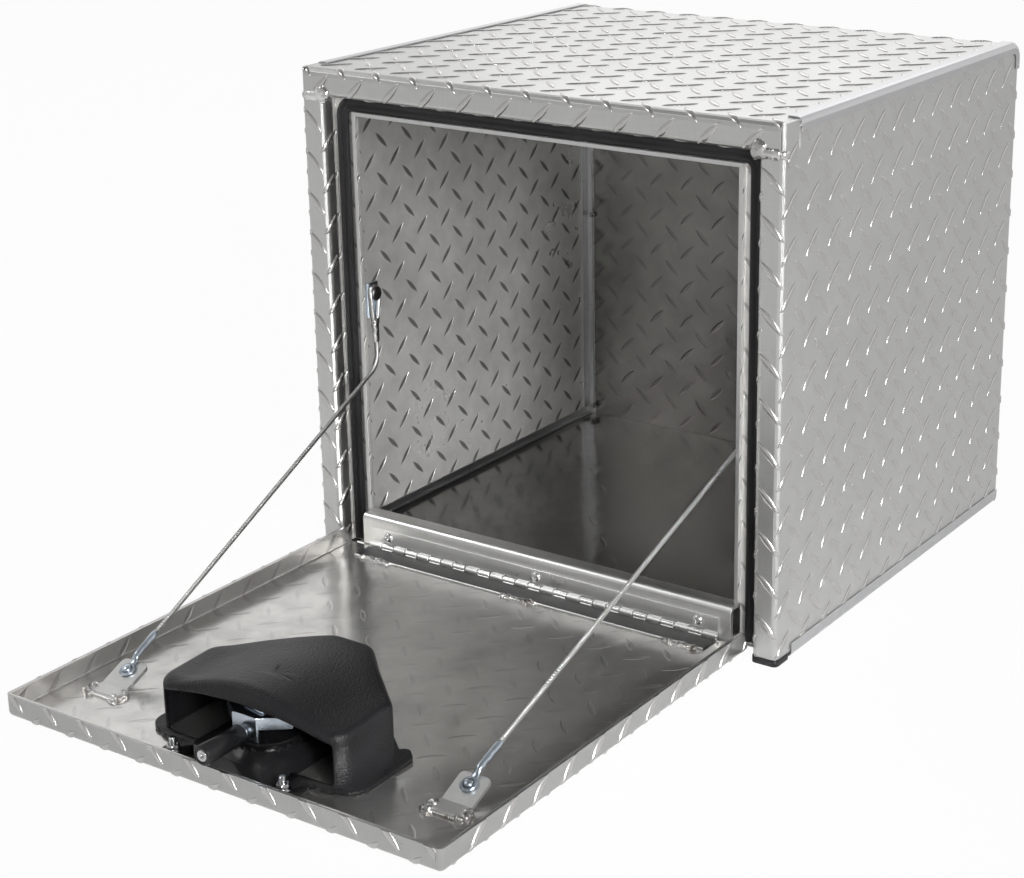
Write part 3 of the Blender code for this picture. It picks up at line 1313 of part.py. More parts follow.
def cover_height(x, y):
    """Height of the cover's top over a place: level sides and rear, with an arched crest in front."""
    back = min(1, max(0, (y - COVER_FRONT_Y) / (COVER_REAR_Y - COVER_FRONT_Y)))
    bow = math.cos(math.pi / 2 * min(1, abs(x) / COVER_CREST_HALF_WIDTH)) ** 1.2
    return COVER_SIDE_TOP + COVER_REAR_RISE * back + COVER_CREST_RISE * (1 - back) * bow


def cover_shell(name, inset, bottom, paint):
    """The cover's body as a closed form, drawn in by inset on every side but its foot."""
    radius = COVER_SHOULDER_RADIUS - inset
    rings = [[(p.x, p.y, bottom) for p in cover_plan(inset)]]
    for k in range(FOLD_STEPS + 1):
        angle = math.pi / 2 * k / FOLD_STEPS
        ring = []
        for p in cover_plan(inset + radius * (1 - math.cos(angle))):
            top = cover_height(p.x, p.y) - inset
            ring.append((p.x, p.y, top - radius * (1 - math.sin(angle))))
        rings.append(ring)
    last = rings[-1]
    centre = LATCH_Y + COVER_CENTRE_BEHIND
    for share in (0.85, 0.65, 0.45, 0.25, 0.06):
        ring = []
        for x, y, _ in last:
            px, py = x * share, centre + (y - centre) * share
            ring.append((px, py, cover_height(px, py) - inset))
        rings.append(ring)
    return place(rings_mesh(rings), name, paint)


def make_latch_cover(plastic):
    cover = cover_shell("latch_cover", 0.0, SEAT, plastic)
    base_top = SEAT + COVER_BASE_THICKNESS
    join(cover, prism("cover_base", cover_plan(-COVER_BASE_REACH), "Z", SEAT, base_top, None))
    for side in (-1, 1):
        wall, edge = COVER_HALF_WIDTH, COVER_HALF_WIDTH + COVER_FLANGE_REACH
        corners = [
            (wall - COVER_CORNER_RADIUS, COVER_FRONT_Y),
            (edge, COVER_FRONT_Y),
            (edge, COVER_FLANGE_Y),
            (wall, COVER_FLANGE_Y + COVER_FLANGE_TAIL),
            (wall - COVER_CORNER_RADIUS, COVER_SIDE_Y),
        ]
        radii = [0, COVER_CORNER_RADIUS, COVER_FLANGE_RADIUS, COVER_FLANGE_RADIUS, 0]
        flange = rounded(corners, radii, CORNER_STEPS, closed=True)
        radius = STUD_PAD_RADIUS
        pad = rectangle(
            side * STUD_X - radius, side * STUD_X + radius, STUD_Y - radius, STUD_Y + 2 * radius,
            radius * 0.99, CORNER_STEPS)
        name = side_name(side)
        join(
            cover,
            prism(f"cover_flange_{name}", mirror_outline(flange, side), "Z", SEAT, base_top, None),
            prism(f"cover_pad_{name}", pad, "Z", SEAT, base_top, None),
        )
    cut(cover, cover_shell("cover_hollow", COVER_WALL, DOOR_FACE, None))
    steps = 8
    arch = []
    for k in range(steps + 1):
        share = 1 - 2 * k / steps
        arch.append((share * MOUTH_HALF_WIDTH, MOUTH_SIDE_TOP + MOUTH_RISE * (1 - share ** 2)))
    sill = base_top + 2 * GAP
    corners = [(-MOUTH_HALF_WIDTH, sill), (MOUTH_HALF_WIDTH, sill)] + arch
    radii = [MOUTH_CORNER, MOUTH_CORNER, MOUTH_CORNER] + [0] * (steps - 1) + [MOUTH_CORNER]
    mouth = rounded(corners, radii, FOLD_STEPS, closed=True)
    half = DISH_SIDE / 2 + 2 * GAP
    dish_front = LATCH_Y - half
    cut(
        cover,
        prism("cover_mouth", mouth, "Y", COVER_FRONT_Y - 2 * OVERRUN, COVER_FRONT_Y + COVER_CORNER_RADIUS, None),
        block(
            "cover_dish_cut",
            (-half, half),
            (dish_front, LATCH_Y),
            (SEAT - OVERRUN, DISH_ROOF + DISH_ROOF_THICKNESS + GAP),
        ),
    )
    for side in (-1, 1):
        hole = circle(STUD_RADIUS + FASTENER_CLEARANCE, SMALL_SIDES, (side * STUD_X, STUD_Y))
        cut(cover, prism(f"cover_hole_{side_name(side)}", hole, "Z", SEAT - OVERRUN, base_top + OVERRUN, None))
    return cover


def make_cover_studs(steel):
    for side in (-1, 1):
        name = side_name(side)
        x = side * STUD_X
        prism(f"cover_stud_{name}", circle(STUD_RADIUS, SMALL_SIDES), "Z", SEAT, STUD_TOP, steel, (x, STUD_Y, 0))
        nut_z = SEAT + COVER_BASE_THICKNESS + GAP
        make_nut(
            f"cover_nut_{name}", STUD_NUT_FLATS, STUD_NUT_HEIGHT, STUD_RADIUS + GAP, "Z", (x, STUD_Y, nut_z), steel)


def main():
    for obj in list(bpy.data.objects):
        bpy.data.objects.remove(obj, do_unlink=True)
    plate = material("tread_plate", (0.72, 0.72, 0.71), 0.3, 1.0)
    extrusion = material("corner_extrusion", (0.80, 0.80, 0.81), 0.35, 1.0)
    steel = material("bright_steel", (0.68, 0.68, 0.70), 0.22, 1.0)
    zinc = material("zinc_plated_steel", (0.62, 0.68, 0.74), 0.28, 1.0)
    rubber = material("black_rubber", (0.02, 0.02, 0.022), 0.6, 0.0)
    plastic = material("moulded_plastic", (0.025, 0.025, 0.027), 0.5, 0.0)
    cast = material("black_cast_dish", (0.015, 0.015, 0.016), 0.3, 0.0)
    make_top_panel(plate)
    make_rear_panel(plate)
    make_bottom_panel(plate)
    make_bulb_seal(rubber)
    make_sill_rail(plate)
    make_hinge(steel)
    make_sill_screws(steel)
    make_door_pan(plate)
    for side in (-1, 1):
        make_side_panel(side, plate)
        make_top_corner(side, extrusion)
        make_bottom_corner(side, extrusion)
        make_rear_corner(side, extrusion)
        make_jamb_foot(side, rubber)
        make_door_bracket(side, extrusion)
        make_door_eye(side, zinc)
        make_door_rivet(side, zinc)
        make_cable_anchor(side, zinc)
        make_anchor_pin(side, zinc)
        make_cable_loop(side, steel)
        make_cable(side, steel)
    make_latch_dish(cast)
    make_latch_gasket(rubber)
    make_spindle(zinc)
    make_handle(zinc, steel)
    make_latch_arm(zinc)
    make_cam_plate(zinc)
    nut_z = ARM_HEIGHT + ARM_THICKNESS + CAM_PLATE_THICKNESS + 2 * GAP
    make_nut("arm_nut", ARM_NUT_FLATS, ARM_NUT_HEIGHT, SPINDLE_THREAD_RADIUS + GAP, "Z", at_latch(nut_z), zinc)
    make_roller(rubber, steel)
    make_latch_cover(plastic)
    make_cover_studs(steel)


main()
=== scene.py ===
"""Looks of an underbody tool box of folded tread plate: finishes, raised tread, welds, wire ropes and latch."""
import math
import random
from collections import namedtuple

import bmesh
import bpy
from mathutils import Matrix, Vector, noise


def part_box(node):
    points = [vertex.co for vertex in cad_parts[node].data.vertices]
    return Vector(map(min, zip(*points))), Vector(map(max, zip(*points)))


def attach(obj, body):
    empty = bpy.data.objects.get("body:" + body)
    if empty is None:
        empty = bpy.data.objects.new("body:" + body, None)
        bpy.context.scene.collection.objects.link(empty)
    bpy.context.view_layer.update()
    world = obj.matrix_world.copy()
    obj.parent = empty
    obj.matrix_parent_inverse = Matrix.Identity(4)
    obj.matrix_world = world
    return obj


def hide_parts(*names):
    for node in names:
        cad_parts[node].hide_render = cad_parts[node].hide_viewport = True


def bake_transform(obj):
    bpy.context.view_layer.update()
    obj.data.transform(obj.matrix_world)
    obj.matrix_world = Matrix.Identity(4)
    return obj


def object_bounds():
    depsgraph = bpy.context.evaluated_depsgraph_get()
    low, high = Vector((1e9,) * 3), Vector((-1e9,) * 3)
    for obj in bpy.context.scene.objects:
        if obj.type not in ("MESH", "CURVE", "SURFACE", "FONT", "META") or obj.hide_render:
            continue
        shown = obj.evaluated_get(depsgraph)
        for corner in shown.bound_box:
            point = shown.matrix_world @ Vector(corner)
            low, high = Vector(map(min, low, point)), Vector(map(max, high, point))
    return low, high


bl_info = {
    "name": "Tread plate tool box",
    "version": (1, 0, 0),
    "blender": (4, 5, 0),
    "location": "View3D > Sidebar > Tool box",
    "description": "Dresses the tool box's frame with tread, welds, ropes and finishes",
    "category": "Object",
}

MM = 0.001
FRAME_WIDTH = 1024
SIDES = ((-1, "left"), (1, "right"))

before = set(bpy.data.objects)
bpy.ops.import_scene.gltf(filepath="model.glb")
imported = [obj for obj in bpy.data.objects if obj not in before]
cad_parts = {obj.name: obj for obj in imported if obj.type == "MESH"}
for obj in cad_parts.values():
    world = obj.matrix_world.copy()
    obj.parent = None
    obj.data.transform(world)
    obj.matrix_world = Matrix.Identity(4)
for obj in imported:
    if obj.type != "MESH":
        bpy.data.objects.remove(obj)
CAD_BOX = [list(corner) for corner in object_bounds()]

# Places that the frame gives
SIDE_LOW, SIDE_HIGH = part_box("right_side_panel")
TOP_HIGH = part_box("top_panel")[1]
DOOR_LOW, DOOR_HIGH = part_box("door_pan")
LEAF_LOW, LEAF_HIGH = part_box("hinge_door_leaf")
FACE_X = SIDE_HIGH.x
FRONT = SIDE_LOW.y
FACE_REAR = SIDE_HIGH.y
FACE_TOP = TOP_HIGH.z
HALF_WIDTH = CAD_BOX[1][0]
BOX_HEIGHT = CAD_BOX[1][2]
DOOR_HALF_WIDTH = DOOR_HIGH.x
DOOR_FREE = DOOR_LOW.y
DOOR_HEEL = DOOR_HIGH.y
DOOR_FACE = DOOR_LOW.z
DOOR_RIM = DOOR_HIGH.z

# Sizes of the folded plate
SHEET = 3.2 * MM
FOLD_OUTER = 4.5 * MM
HEADER_FOLD_OUTER = 6.0 * MM
REAR_FOLD_OUTER = 14.5 * MM
JAMB_WIDTH = 21.7 * MM
JAMB_X = FACE_X - JAMB_WIDTH
JAMB_END = 5.5 * MM
HEADER_BOTTOM = BOX_HEIGHT - 24.35 * MM
RETURN_REACH = 6.0 * MM
REAR_FLANGE = 11.0 * MM
EXTRUSION_START = FRONT + 22.6 * MM
TOP_LEG = 12.0 * MM
SIDE_LEG = 10.0 * MM
BOTTOM_LEG = 12.0 * MM
DOOR_FOLD_OUTER = 4.5 * MM
DOOR_SKIN = DOOR_FACE + SHEET
INNER_START = 13.0 * MM

# Raised bars: their cross section, the share of the length by which they are sorted to a plate, and where a
# bar's centre lies: behind the front, above the ground or the header's lower edge, beside the middle
BAR_STATIONS = 12
BAR_SINK = 0.25 * MM
BAR_PROFILE = (
    (-1.0, None), (-0.84, 0.48), (-0.56, 0.88), (0.0, 1.0), (0.56, 0.88), (0.84, 0.48), (1.0, None))
BAR_REACH = 0.36
SIDE_BAR_DEPTH = 44.5 * MM
SIDE_BAR_HEIGHT = 223.9 * MM
HEADER_BAR_HEIGHT = 8.35 * MM
HEADER_BAR_X = 14.4 * MM
TOP_CLEAR = 3.4 * MM
DOOR_BAR_Y = -380.0 * MM
LATTICE_SHIFT = {"X": 1.6 * MM, "Y": 165.05 * MM, "Z": -223.9 * MM}

# Wire ropes, along the same route as the frame's cables
ROPE_DOOR_END = Vector((160.0, -511.55, 22.0)) * MM
ROPE_TURN = Vector((180.4, -182.55, 166.4)) * MM
ROPE_STEP = 1.0 * MM
STRAND_STEPS = 5
STRAND_SHARE = 0.95
TURN_LENGTH = 10.0 * MM
LOOP_PIN_HEIGHT = 231.0 * MM
LOOP_LENGTH = 25.0 * MM
LOOP_RADIUS = 5.6 * MM
SLEEVE_LENGTH = 21.0 * MM
SLEEVE_THIN = 2.6 * MM
SLEEVE_WIDE = 3.4 * MM

# A rope's door end: a flat eye, and the ferrule in stations of run, half width, half depth and level in mm
EYE_RADIUS = 6.5 * MM
EYE_HOLE = 2.4 * MM
EYE_HALF = 1.0 * MM
EYE_EDGE = 0.7 * MM
EYE_LEVEL = -1.8 * MM
FERRULE_END = 38.0 * MM
FERRULE_STATIONS = (
    (5.6, 3.0, 0.95, -1.8), (8.5, 2.9, 1.1, -1.5), (11.0, 2.5, 2.0, -0.5), (13.0, 2.7, 2.7, 0.0),
    (16.0, 2.8, 2.8, 0.0), (17.5, 2.45, 2.8, 0.0), (20.0, 2.35, 2.8, 0.0), (21.5, 2.8, 2.8, 0.0),
    (24.0, 2.8, 2.8, 0.0), (25.5, 2.45, 2.8, 0.0), (28.0, 2.35, 2.8, 0.0), (29.5, 2.8, 2.8, 0.0),
    (34.0, 2.75, 2.75, 0.0), (36.5, 2.5, 2.5, 0.0), (38.0, 1.9, 1.9, 0.0))

# Welds: radii of the beads and half sizes of the lumps
BEAD_STEP = 0.45 * MM
HEADER_BEAD = 4.7 * MM
HEADER_RIPPLE = 8.5 * MM
HEADER_BALL = (7.2 * MM, 4.0 * MM, 7.8 * MM)
CORNER_LAP = 3.6 * MM
CORNER_RIPPLE = 7.0 * MM
TOP_BEAD = 1.9 * MM
TOP_RIPPLE = 3.4 * MM
TOP_LUMP = (6.6 * MM, 8.5 * MM, 7.2 * MM)
TACK_LEVELS = (13.0 * MM, 214.0 * MM, 398.0 * MM)
TACK_LUMP = (1.9 * MM, 1.9 * MM, 2.4 * MM)
BRACKET_BEAD = 1.7 * MM
BRACKET_LUMP = (4.2 * MM, 3.0 * MM, 3.2 * MM)
HINGE_LUMP = (2.8 * MM, 2.9 * MM, 2.2 * MM)

# Piano hinge
HINGE_PIN_Y = FRONT + 1.4 * MM
KNUCKLES = 27
KNUCKLE_REACH = 3.2 * MM
KNUCKLE_JOINT = 1.0 * MM
KNUCKLE_CLEAR = 0.5 * MM
LEAF_SHEET = 1.3 * MM
LEAF_CHAMFER = 0.2 * MM
# Width of the strip along the door leaf's front edge that is painted bright: a painted highlight
LEAF_HIGHLIGHT_RIM = 1.1 * MM

# Screws, nuts and the latch's arm. Rows of a screw's head: shares of radius and height, and if it is lobed
HEAD_ROWS = (
    (1.0, 0.0, 0), (1.0, 0.22, 0), (0.95, 0.48, 0), (0.82, 0.76, 0), (0.62, 0.94, 0), (0.50, 0.99, 1),
    (0.47, 0.93, 1), (0.45, 0.35, 1), (0.38, 0.30, 1))
SCREW_HEAD = 2.6 * MM
SCREW_SHANK = ((0, 0), (2.1 * MM, 0), (2.1 * MM, -9.0 * MM), (0.9 * MM, -12.0 * MM), (0, -12.4 * MM))
COVER_NUT_FLATS = 8.6 * MM
COVER_NUT_BORE = 2.75 * MM
COVER_NUT_FLANGE = 5.7 * MM
ARM_NUT_FLATS = 13.0 * MM
ARM_NUT_BORE = 4.1 * MM
ARM_SHEET = 3.0 * MM
ARM_LIP = 9.0 * MM
# rings of the arm's plate in mm: how far in from the outline, and how deep, where None is the edge's own drop
ARM_RINGS = ((1.6, 0.0), (0.5, 0.4), (0.0, 1.5), (0.0, None), (2.2, None), (2.6, 3.0))
ARM_RIVET = ((0, -0.4 * MM), (2.9 * MM, -0.4 * MM), (2.9 * MM, 0.5 * MM), (2.1 * MM, 1.3 * MM), (0, 1.6 * MM))

# Pieces that keep the frame's shape and get round faces
SMOOTH_MERGE = 0.02 * MM
COVER_MERGE = 0.35 * MM
LATCH_PIECES = (
    ("latch_cover", "door", "plastic", "moulded_plastic", 34.0),
    ("latch_dish", "door", "cast", "black_cast_dish", 38.0),
    ("latch_gasket", "door", "rubber", "black_rubber", 38.0),
    ("latch_roller", "roller", "cast", "black_rubber", 38.0),
    ("roller_bolt", "latch", "steel", "bright_steel", 38.0),
    ("latch_spindle", "latch", "zinc", "zinc_plated_steel", 38.0),
    ("cam_plate", "latch", "zinc", "zinc_plated_steel", 38.0),
    ("handle_pin", "latch", "steel", "bright_steel", 38.0),
    ("t_handle", "t_handle", "zinc", "zinc_plated_steel", 38.0),
    ("lock_plug", "lock", "steel", "bright_steel", 38.0),
)
SMALL_PIECES = (
    ("hinge_pin", "box", "steel", "bright_steel", 38.0),
    ("bulb_seal", "box", "rubber", "black_rubber", 38.0),
    ("jamb_foot_left", "box", "rubber", "black_rubber", 38.0),
    ("jamb_foot_right", "box", "rubber", "black_rubber", 38.0),
    ("anchor_pin_left", "box", "dark_steel", "zinc_plated_steel", 38.0),
    ("anchor_pin_right", "box", "dark_steel", "zinc_plated_steel", 38.0),
    ("door_rivet_left", "door", "zinc", "zinc_plated_steel", 38.0),
    ("door_rivet_right", "door", "zinc", "zinc_plated_steel", 38.0),
)

# Finishes of the frame's pieces that stay
FINISHES = {}
NODE_FINISHES = {
    "plate": ("top_panel", "left_side_panel", "right_side_panel"),
    "rear_plate": ("rear_panel",),
    "floor_plate": ("bottom_panel",),
    "door_plate": ("door_pan",),
    "sill": ("sill_rail",),
    "extrusion": (
        "top_corner_left", "top_corner_right", "bottom_corner_left", "bottom_corner_right",
        "rear_corner_left", "rear_corner_right"),
    "bracket": ("door_bracket_left", "door_bracket_right"),
    "steel": ("roller_nut",),
    "zinc": ("cable_anchor_left", "cable_anchor_right"),
}

# Pressed plates: roughness and smudge clouds (partly a painted sheen) of the outer face, then roughness, dent
# depth, painted shade in the dents, waves and haze of the inner
PressedLook = namedtuple("PressedLook", "roughness smudge inner_roughness depth darkness wave haze")
WALL_LOOK = PressedLook(0.34, 0.35, 0.32, 0.80, 0.85, 0.8, 0.36)
REAR_LOOK = PressedLook(0.34, 0.35, 0.22, 0.35, 0.45, 1.2, 0.0)
FLOOR_LOOK = PressedLook(0.34, 0.35, 0.13, 0.10, 0.15, 1.3, 0.0)
DOOR_LOOK = PressedLook(0.30, 0.4, 0.20, 0.30, 0.30, 2.2, 0.12)
METAL_GRAIN = 700.0
METAL_GRAIN_DEPTH = 0.02 * MM
# Lighter black for edges: partly worn plastic, partly a painted highlight
WORN_AND_HIGHLIGHT_BLACK = (0.07, 0.07, 0.07)
BLACK_GLOSS = 0.28
DULL_WELD = (0.52, 0.51, 0.49)
BRIGHT_WELD = (0.88, 0.88, 0.87)
SOOT = (0.13, 0.105, 0.08)

HALF_ROOT = 0.7071

# The studio
FLOOR_RADIUS = 14.0
FLOOR_DROP = 0.3 * MM
FLOOR_WHITE = 0.96
FLOOR_MIRRORED = 0.40
ROOM_FRONT = 0.5
ROOM_REAR = 0.95
ROOM_LIGHT = 0.6
ROOM_TOP = 0.4
# each lamp's name, setting, place, target, width in metres and spread in degrees
LAMPS = (
    ("key_softbox", "key", (2.1, -1.85, 1.35), (0.0, -0.1, 0.15), 0.9, 180.0),
    ("side_softbox", "side", (1.6, -1.35, 0.62), (-0.2, -0.12, 0.05), 0.3, 26.0),
    ("left_softbox", "fill", (-1.6, -1.3, 1.9), (0.0, -0.3, 0.1), 1.0, 180.0),
    ("rear_softbox", "rear", (-0.9, 2.0, 1.5), (0.0, 0.0, 0.3), 1.4, 180.0),
)

# The camera of the photograph
CAMERA_PLACE = Vector((0.94362, -1.52041, 0.72649))
CAMERA_YAW = 0.59131
CAMERA_PITCH = 0.30542
CAMERA_ROLL = -0.00874
FOCAL_PIXELS = 2131.4
CENTRE_SHIFT_X = 84.0
CENTRE_SHIFT_Y = -89.0


class ToolboxTread(bpy.types.PropertyGroup):
    """Raised tread of the rolled plate."""
    pitch: bpy.props.FloatProperty(
        name="Pitch", description="Distance between bars of one direction", default=34.9 * MM,
        subtype="DISTANCE", unit="LENGTH")
    pitch_across: bpy.props.FloatProperty(
        name="Pitch across", description="Distance between bars across the top plate", default=37.0 * MM,
        subtype="DISTANCE", unit="LENGTH")
    length: bpy.props.FloatProperty(
        name="Bar length", description="Length of one raised bar", default=28.5 * MM,
        subtype="DISTANCE", unit="LENGTH")
    width: bpy.props.FloatProperty(
        name="Bar width", description="Width of one raised bar at its middle", default=6.4 * MM,
        subtype="DISTANCE", unit="LENGTH")
    height: bpy.props.FloatProperty(
        name="Bar height", description="How far a bar stands proud of the plate", default=1.0 * MM,
        subtype="DISTANCE", unit="LENGTH")


class ToolboxFinish(bpy.types.PropertyGroup):
    """Colours of the finishes."""
    plate: bpy.props.FloatVectorProperty(
        name="Plate", description="Bare rolled aluminium", size=3, default=(0.62, 0.62, 0.61), subtype="COLOR")
    bars: bpy.props.FloatVectorProperty(
        name="Bars", description="Raised bars of the plate", size=3, default=(0.60, 0.59, 0.58), subtype="COLOR")
    extrusion: bpy.props.FloatVectorProperty(
        name="Extrusion", description="Corner extrusions", size=3, default=(0.60, 0.60, 0.61), subtype="COLOR")
    steel: bpy.props.FloatVectorProperty(
        name="Steel", description="Hinge, screws and ropes", size=3, default=(0.56, 0.56, 0.57), subtype="COLOR")
    inside: bpy.props.FloatVectorProperty(
        name="Inside", description="Inner faces of the plate", size=3, default=(0.66, 0.65, 0.63), subtype="COLOR")
    # The door's hinge leaf is the same steel as the box's leaf, painted near-black as painted shade
    leaf: bpy.props.FloatVectorProperty(
        name="Leaf", description="Hinge leaf on the door", size=3, default=(0.11, 0.11, 0.11), subtype="COLOR")
    zinc: bpy.props.FloatVectorProperty(
        name="Zinc", description="Zinc plated latch parts", size=3, default=(0.55, 0.61, 0.68), subtype="COLOR")
    plastic: bpy.props.FloatVectorProperty(
        name="Plastic", description="Moulded cover", size=3, default=(0.009, 0.009, 0.010), subtype="COLOR")
    rubber: bpy.props.FloatVectorProperty(
        name="Rubber", description="Seal, feet and roller", size=3, default=(0.014, 0.014, 0.015), subtype="COLOR")
    cast: bpy.props.FloatVectorProperty(
        name="Cast dish", description="Black coated latch dish", size=3, default=(0.012, 0.012, 0.013),
        subtype="COLOR")


class ToolboxRope(bpy.types.PropertyGroup):
    """Wire ropes that hold the door."""
    radius: bpy.props.FloatProperty(
        name="Radius", description="Radius of the rope", default=1.9 * MM, subtype="DISTANCE", unit="LENGTH")
    lay: bpy.props.FloatProperty(
        name="Lay", description="Length of one full twist", default=15.0 * MM, subtype="DISTANCE", unit="LENGTH")
    strands: bpy.props.IntProperty(
        name="Strands", description="Outer strands of the rope", default=6, min=3, max=12)


class ToolboxStage(bpy.types.PropertyGroup):
    """Floor and light of the studio."""
    floor: bpy.props.FloatVectorProperty(
        name="Floor", description="Floor colour", size=3, default=(0.88, 0.88, 0.88), subtype="COLOR")
    key: bpy.props.FloatProperty(
        name="Key light", description="Power of the lamp in front", default=32.0, subtype="POWER", unit="POWER")
    side: bpy.props.FloatProperty(
        name="Side light", description="Power of the gridded lamp on the right", default=1.0, subtype="POWER",
        unit="POWER")
    fill: bpy.props.FloatProperty(
        name="Fill light", description="Power of the lamp on the left", default=8.0, subtype="POWER", unit="POWER")
    rear: bpy.props.FloatProperty(
        name="Rear light", description="Power of the lamp behind", default=4.0, subtype="POWER", unit="POWER")


class Nodes:
    """Short calls for building one node tree."""

    def __init__(self, tree):
        self.tree = tree
        self.links = tree.links

    def add(self, kind, **settings):
        node = self.tree.nodes.new(kind)
        for name, value in settings.items():
            setattr(node, name, value)
        return node

    def put(self, socket, value):
        """Join an output to a socket, or set a plain value on it."""
        if isinstance(value, bpy.types.NodeSocket):
            self.links.new(value, socket)
        else:
            socket.default_value = value

    def feed(self, node, **sources):
        """Join outputs to a node's inputs, or set plain values on them."""
        for name, source in sources.items():
            self.put(node.inputs[name.replace("_", " ")], source)
        return node

    def math(self, operation, *values):
        node = self.add("ShaderNodeMath", operation=operation)
        for socket, value in zip(node.inputs, values):
            self.put(socket, value)
        return node.outputs[0]

    def times(self, first, second):
        return self.math("MULTIPLY", first, second)

    def plus(self, first, second):
        return self.math("ADD", first, second)

    def noise(self, vector, scale, detail=4.0, roughness=0.55, distortion=0.0):
        node = self.add("ShaderNodeTexNoise")
        self.feed(node, Vector=vector, Scale=scale, Detail=detail, Roughness=roughness, Distortion=distortion)
        return node.outputs["Fac"]

    def stretched(self, vector, scale, rotation=(0.0, 0.0, 0.0)):
        node = self.add("ShaderNodeMapping")
        self.feed(node, Vector=vector, Scale=scale, Rotation=rotation)
        return node.outputs["Vector"]

    def parts(self, vector):
        """The three numbers of a vector, by axis."""
        node = self.add("ShaderNodeSeparateXYZ")
        self.links.new(vector, node.inputs[0])
        return node.outputs

    def span(self, value, low, high, new_low=0.0, new_high=1.0, smooth=False):
        node = self.add("ShaderNodeMapRange", interpolation_type="SMOOTHSTEP" if smooth else "LINEAR")
        self.feed(node, Value=value, From_Min=low, From_Max=high, To_Min=new_low, To_Max=new_high)
        return node.outputs["Result"]

    def tint(self, factor, first, second):
        """A mix of two colours."""
        node = self.add("ShaderNodeMix", data_type="RGBA")
        self.put(node.inputs[0], factor)
        for socket, colour in ((node.inputs[6], first), (node.inputs[7], second)):
            self.put(socket, colour if isinstance(colour, bpy.types.NodeSocket) else (*colour, 1.0))
        return node.outputs[2]


def new_group(name, inputs, outputs):
    """A node group with its sockets and its two end nodes. An input without a default is a vector."""
    tree = bpy.data.node_groups.new(name, "ShaderNodeTree")
    for socket, value in inputs.items():
        kind = "NodeSocketVector" if value is None else "NodeSocketFloat"
        made = tree.interface.new_socket(name=socket, in_out="INPUT", socket_type=kind)
        if value is not None:
            made.default_value = value
    for socket in outputs:
        tree.interface.new_socket(name=socket, in_out="OUTPUT", socket_type="NodeSocketFloat")
    nodes = Nodes(tree)
    return tree, nodes, nodes.add("NodeGroupInput"), nodes.add("NodeGroupOutput")


def rolled_grain_group():
    """Fine lines that the mill's rollers leave, with dull patches, and soft clouds of colour that are partly
    smudges and partly a painted sheen.
    """
    tree, nodes, start, end = new_group(
        "Rolled grain", {"Vector": None, "Smudge": 0.5, "Streak": 0.5}, ("Tone", "Dullness", "Height"))
    place = start.outputs["Vector"]
    smudge = start.outputs["Smudge"]
    lines = nodes.noise(nodes.stretched(place, (900.0, 40.0, 40.0)), 1.0, 3.0, 0.6)
    upright = nodes.noise(nodes.stretched(place, (70.0, 70.0, 900.0)), 1.0, 3.0, 0.6)
    cloud = nodes.noise(place, 7.0, 5.0, 0.6, 0.6)
    patch = nodes.noise(nodes.stretched(place, (16.0, 7.0, 11.0), (0.0, 0.0, 0.5)), 1.0, 5.0, 0.55, 0.5)
    fine = nodes.noise(place, 260.0, 3.0, 0.6)
    streak = nodes.times(nodes.plus(lines, upright), 0.5)
    drawn = nodes.times(nodes.math("SUBTRACT", streak, 0.5), start.outputs["Streak"])
    # Colour clouds: partly smudges, partly a painted sheen, with the rolling lines
    tone_and_sheen = nodes.plus(nodes.times(nodes.math("SUBTRACT", cloud, 0.5), smudge), drawn)
    dull = nodes.plus(nodes.times(patch, smudge), drawn)
    height = nodes.plus(nodes.times(streak, 0.5), nodes.times(fine, 0.5))
    nodes.feed(end, Tone=tone_and_sheen, Dullness=dull, Height=height)
    return tree


def bar_mask(nodes, across, up, tilt, pitch, length, width):
    """A soft lens in every cell of a square pattern, tilted to the left or right."""
    local = []
    for value in (across, up):
        share = nodes.math("FRACT", nodes.math("DIVIDE", value, pitch))
        local.append(nodes.times(nodes.math("SUBTRACT", share, 0.5), pitch))
    tilted = nodes.times(local[1], tilt)
    along = nodes.times(nodes.plus(local[0], tilted), HALF_ROOT)
    off = nodes.times(nodes.math("SUBTRACT", local[0], tilted), HALF_ROOT)
    end_share = nodes.math("POWER", nodes.math("DIVIDE", nodes.math("ABSOLUTE", along), length / 2), 2.0)
    side_share = nodes.math("DIVIDE", nodes.math("ABSOLUTE", off), width / 2)
    depth = nodes.math("SUBTRACT", 1.0, nodes.plus(end_share, side_share))
    return nodes.span(depth, 0.0, 0.55, smooth=True)


def pressed_dent_group(settings):
    """Dents that the rolled bars leave on the plate's inner face, on walls that face any of the three ways."""
    tree, nodes, start, end = new_group("Pressed dents", {"Vector": None, "Normal": None}, ("Height", "Dent"))
    place, facing = nodes.parts(start.outputs["Vector"]), nodes.parts(start.outputs["Normal"])
    total = None
    pitch, half = settings.pitch, settings.pitch / 2
    length, width = settings.length * 0.84, settings.width * 0.8
    for axis, first, second, share in (("X", "Y", "Z", 1.0), ("Y", "X", "Z", 0.6), ("Z", "X", "Y", 0.35)):
        wall = nodes.span(nodes.math("ABSOLUTE", facing[axis]), 0.6, 0.8, 0.0, share)
        across = nodes.plus(place[first], LATTICE_SHIFT[first] + pitch * 20.5)
        up = nodes.plus(place[second], LATTICE_SHIFT[second] + pitch * 20.5)
        rising = bar_mask(nodes, across, up, 1.0, pitch, length, width)
        falling = bar_mask(
            nodes, nodes.plus(across, half), nodes.plus(up, half), -1.0, pitch, length, width)
        both = nodes.times(nodes.math("MAXIMUM", rising, falling), wall)
        total = both if total is None else nodes.plus(total, both)
    waves = nodes.noise(start.outputs["Vector"], 42.0, 3.0, 0.5, 0.3)
    height = nodes.plus(nodes.times(total, -1.0), nodes.times(waves, 0.45))
    nodes.feed(end, Height=height, Dent=total)
    return tree


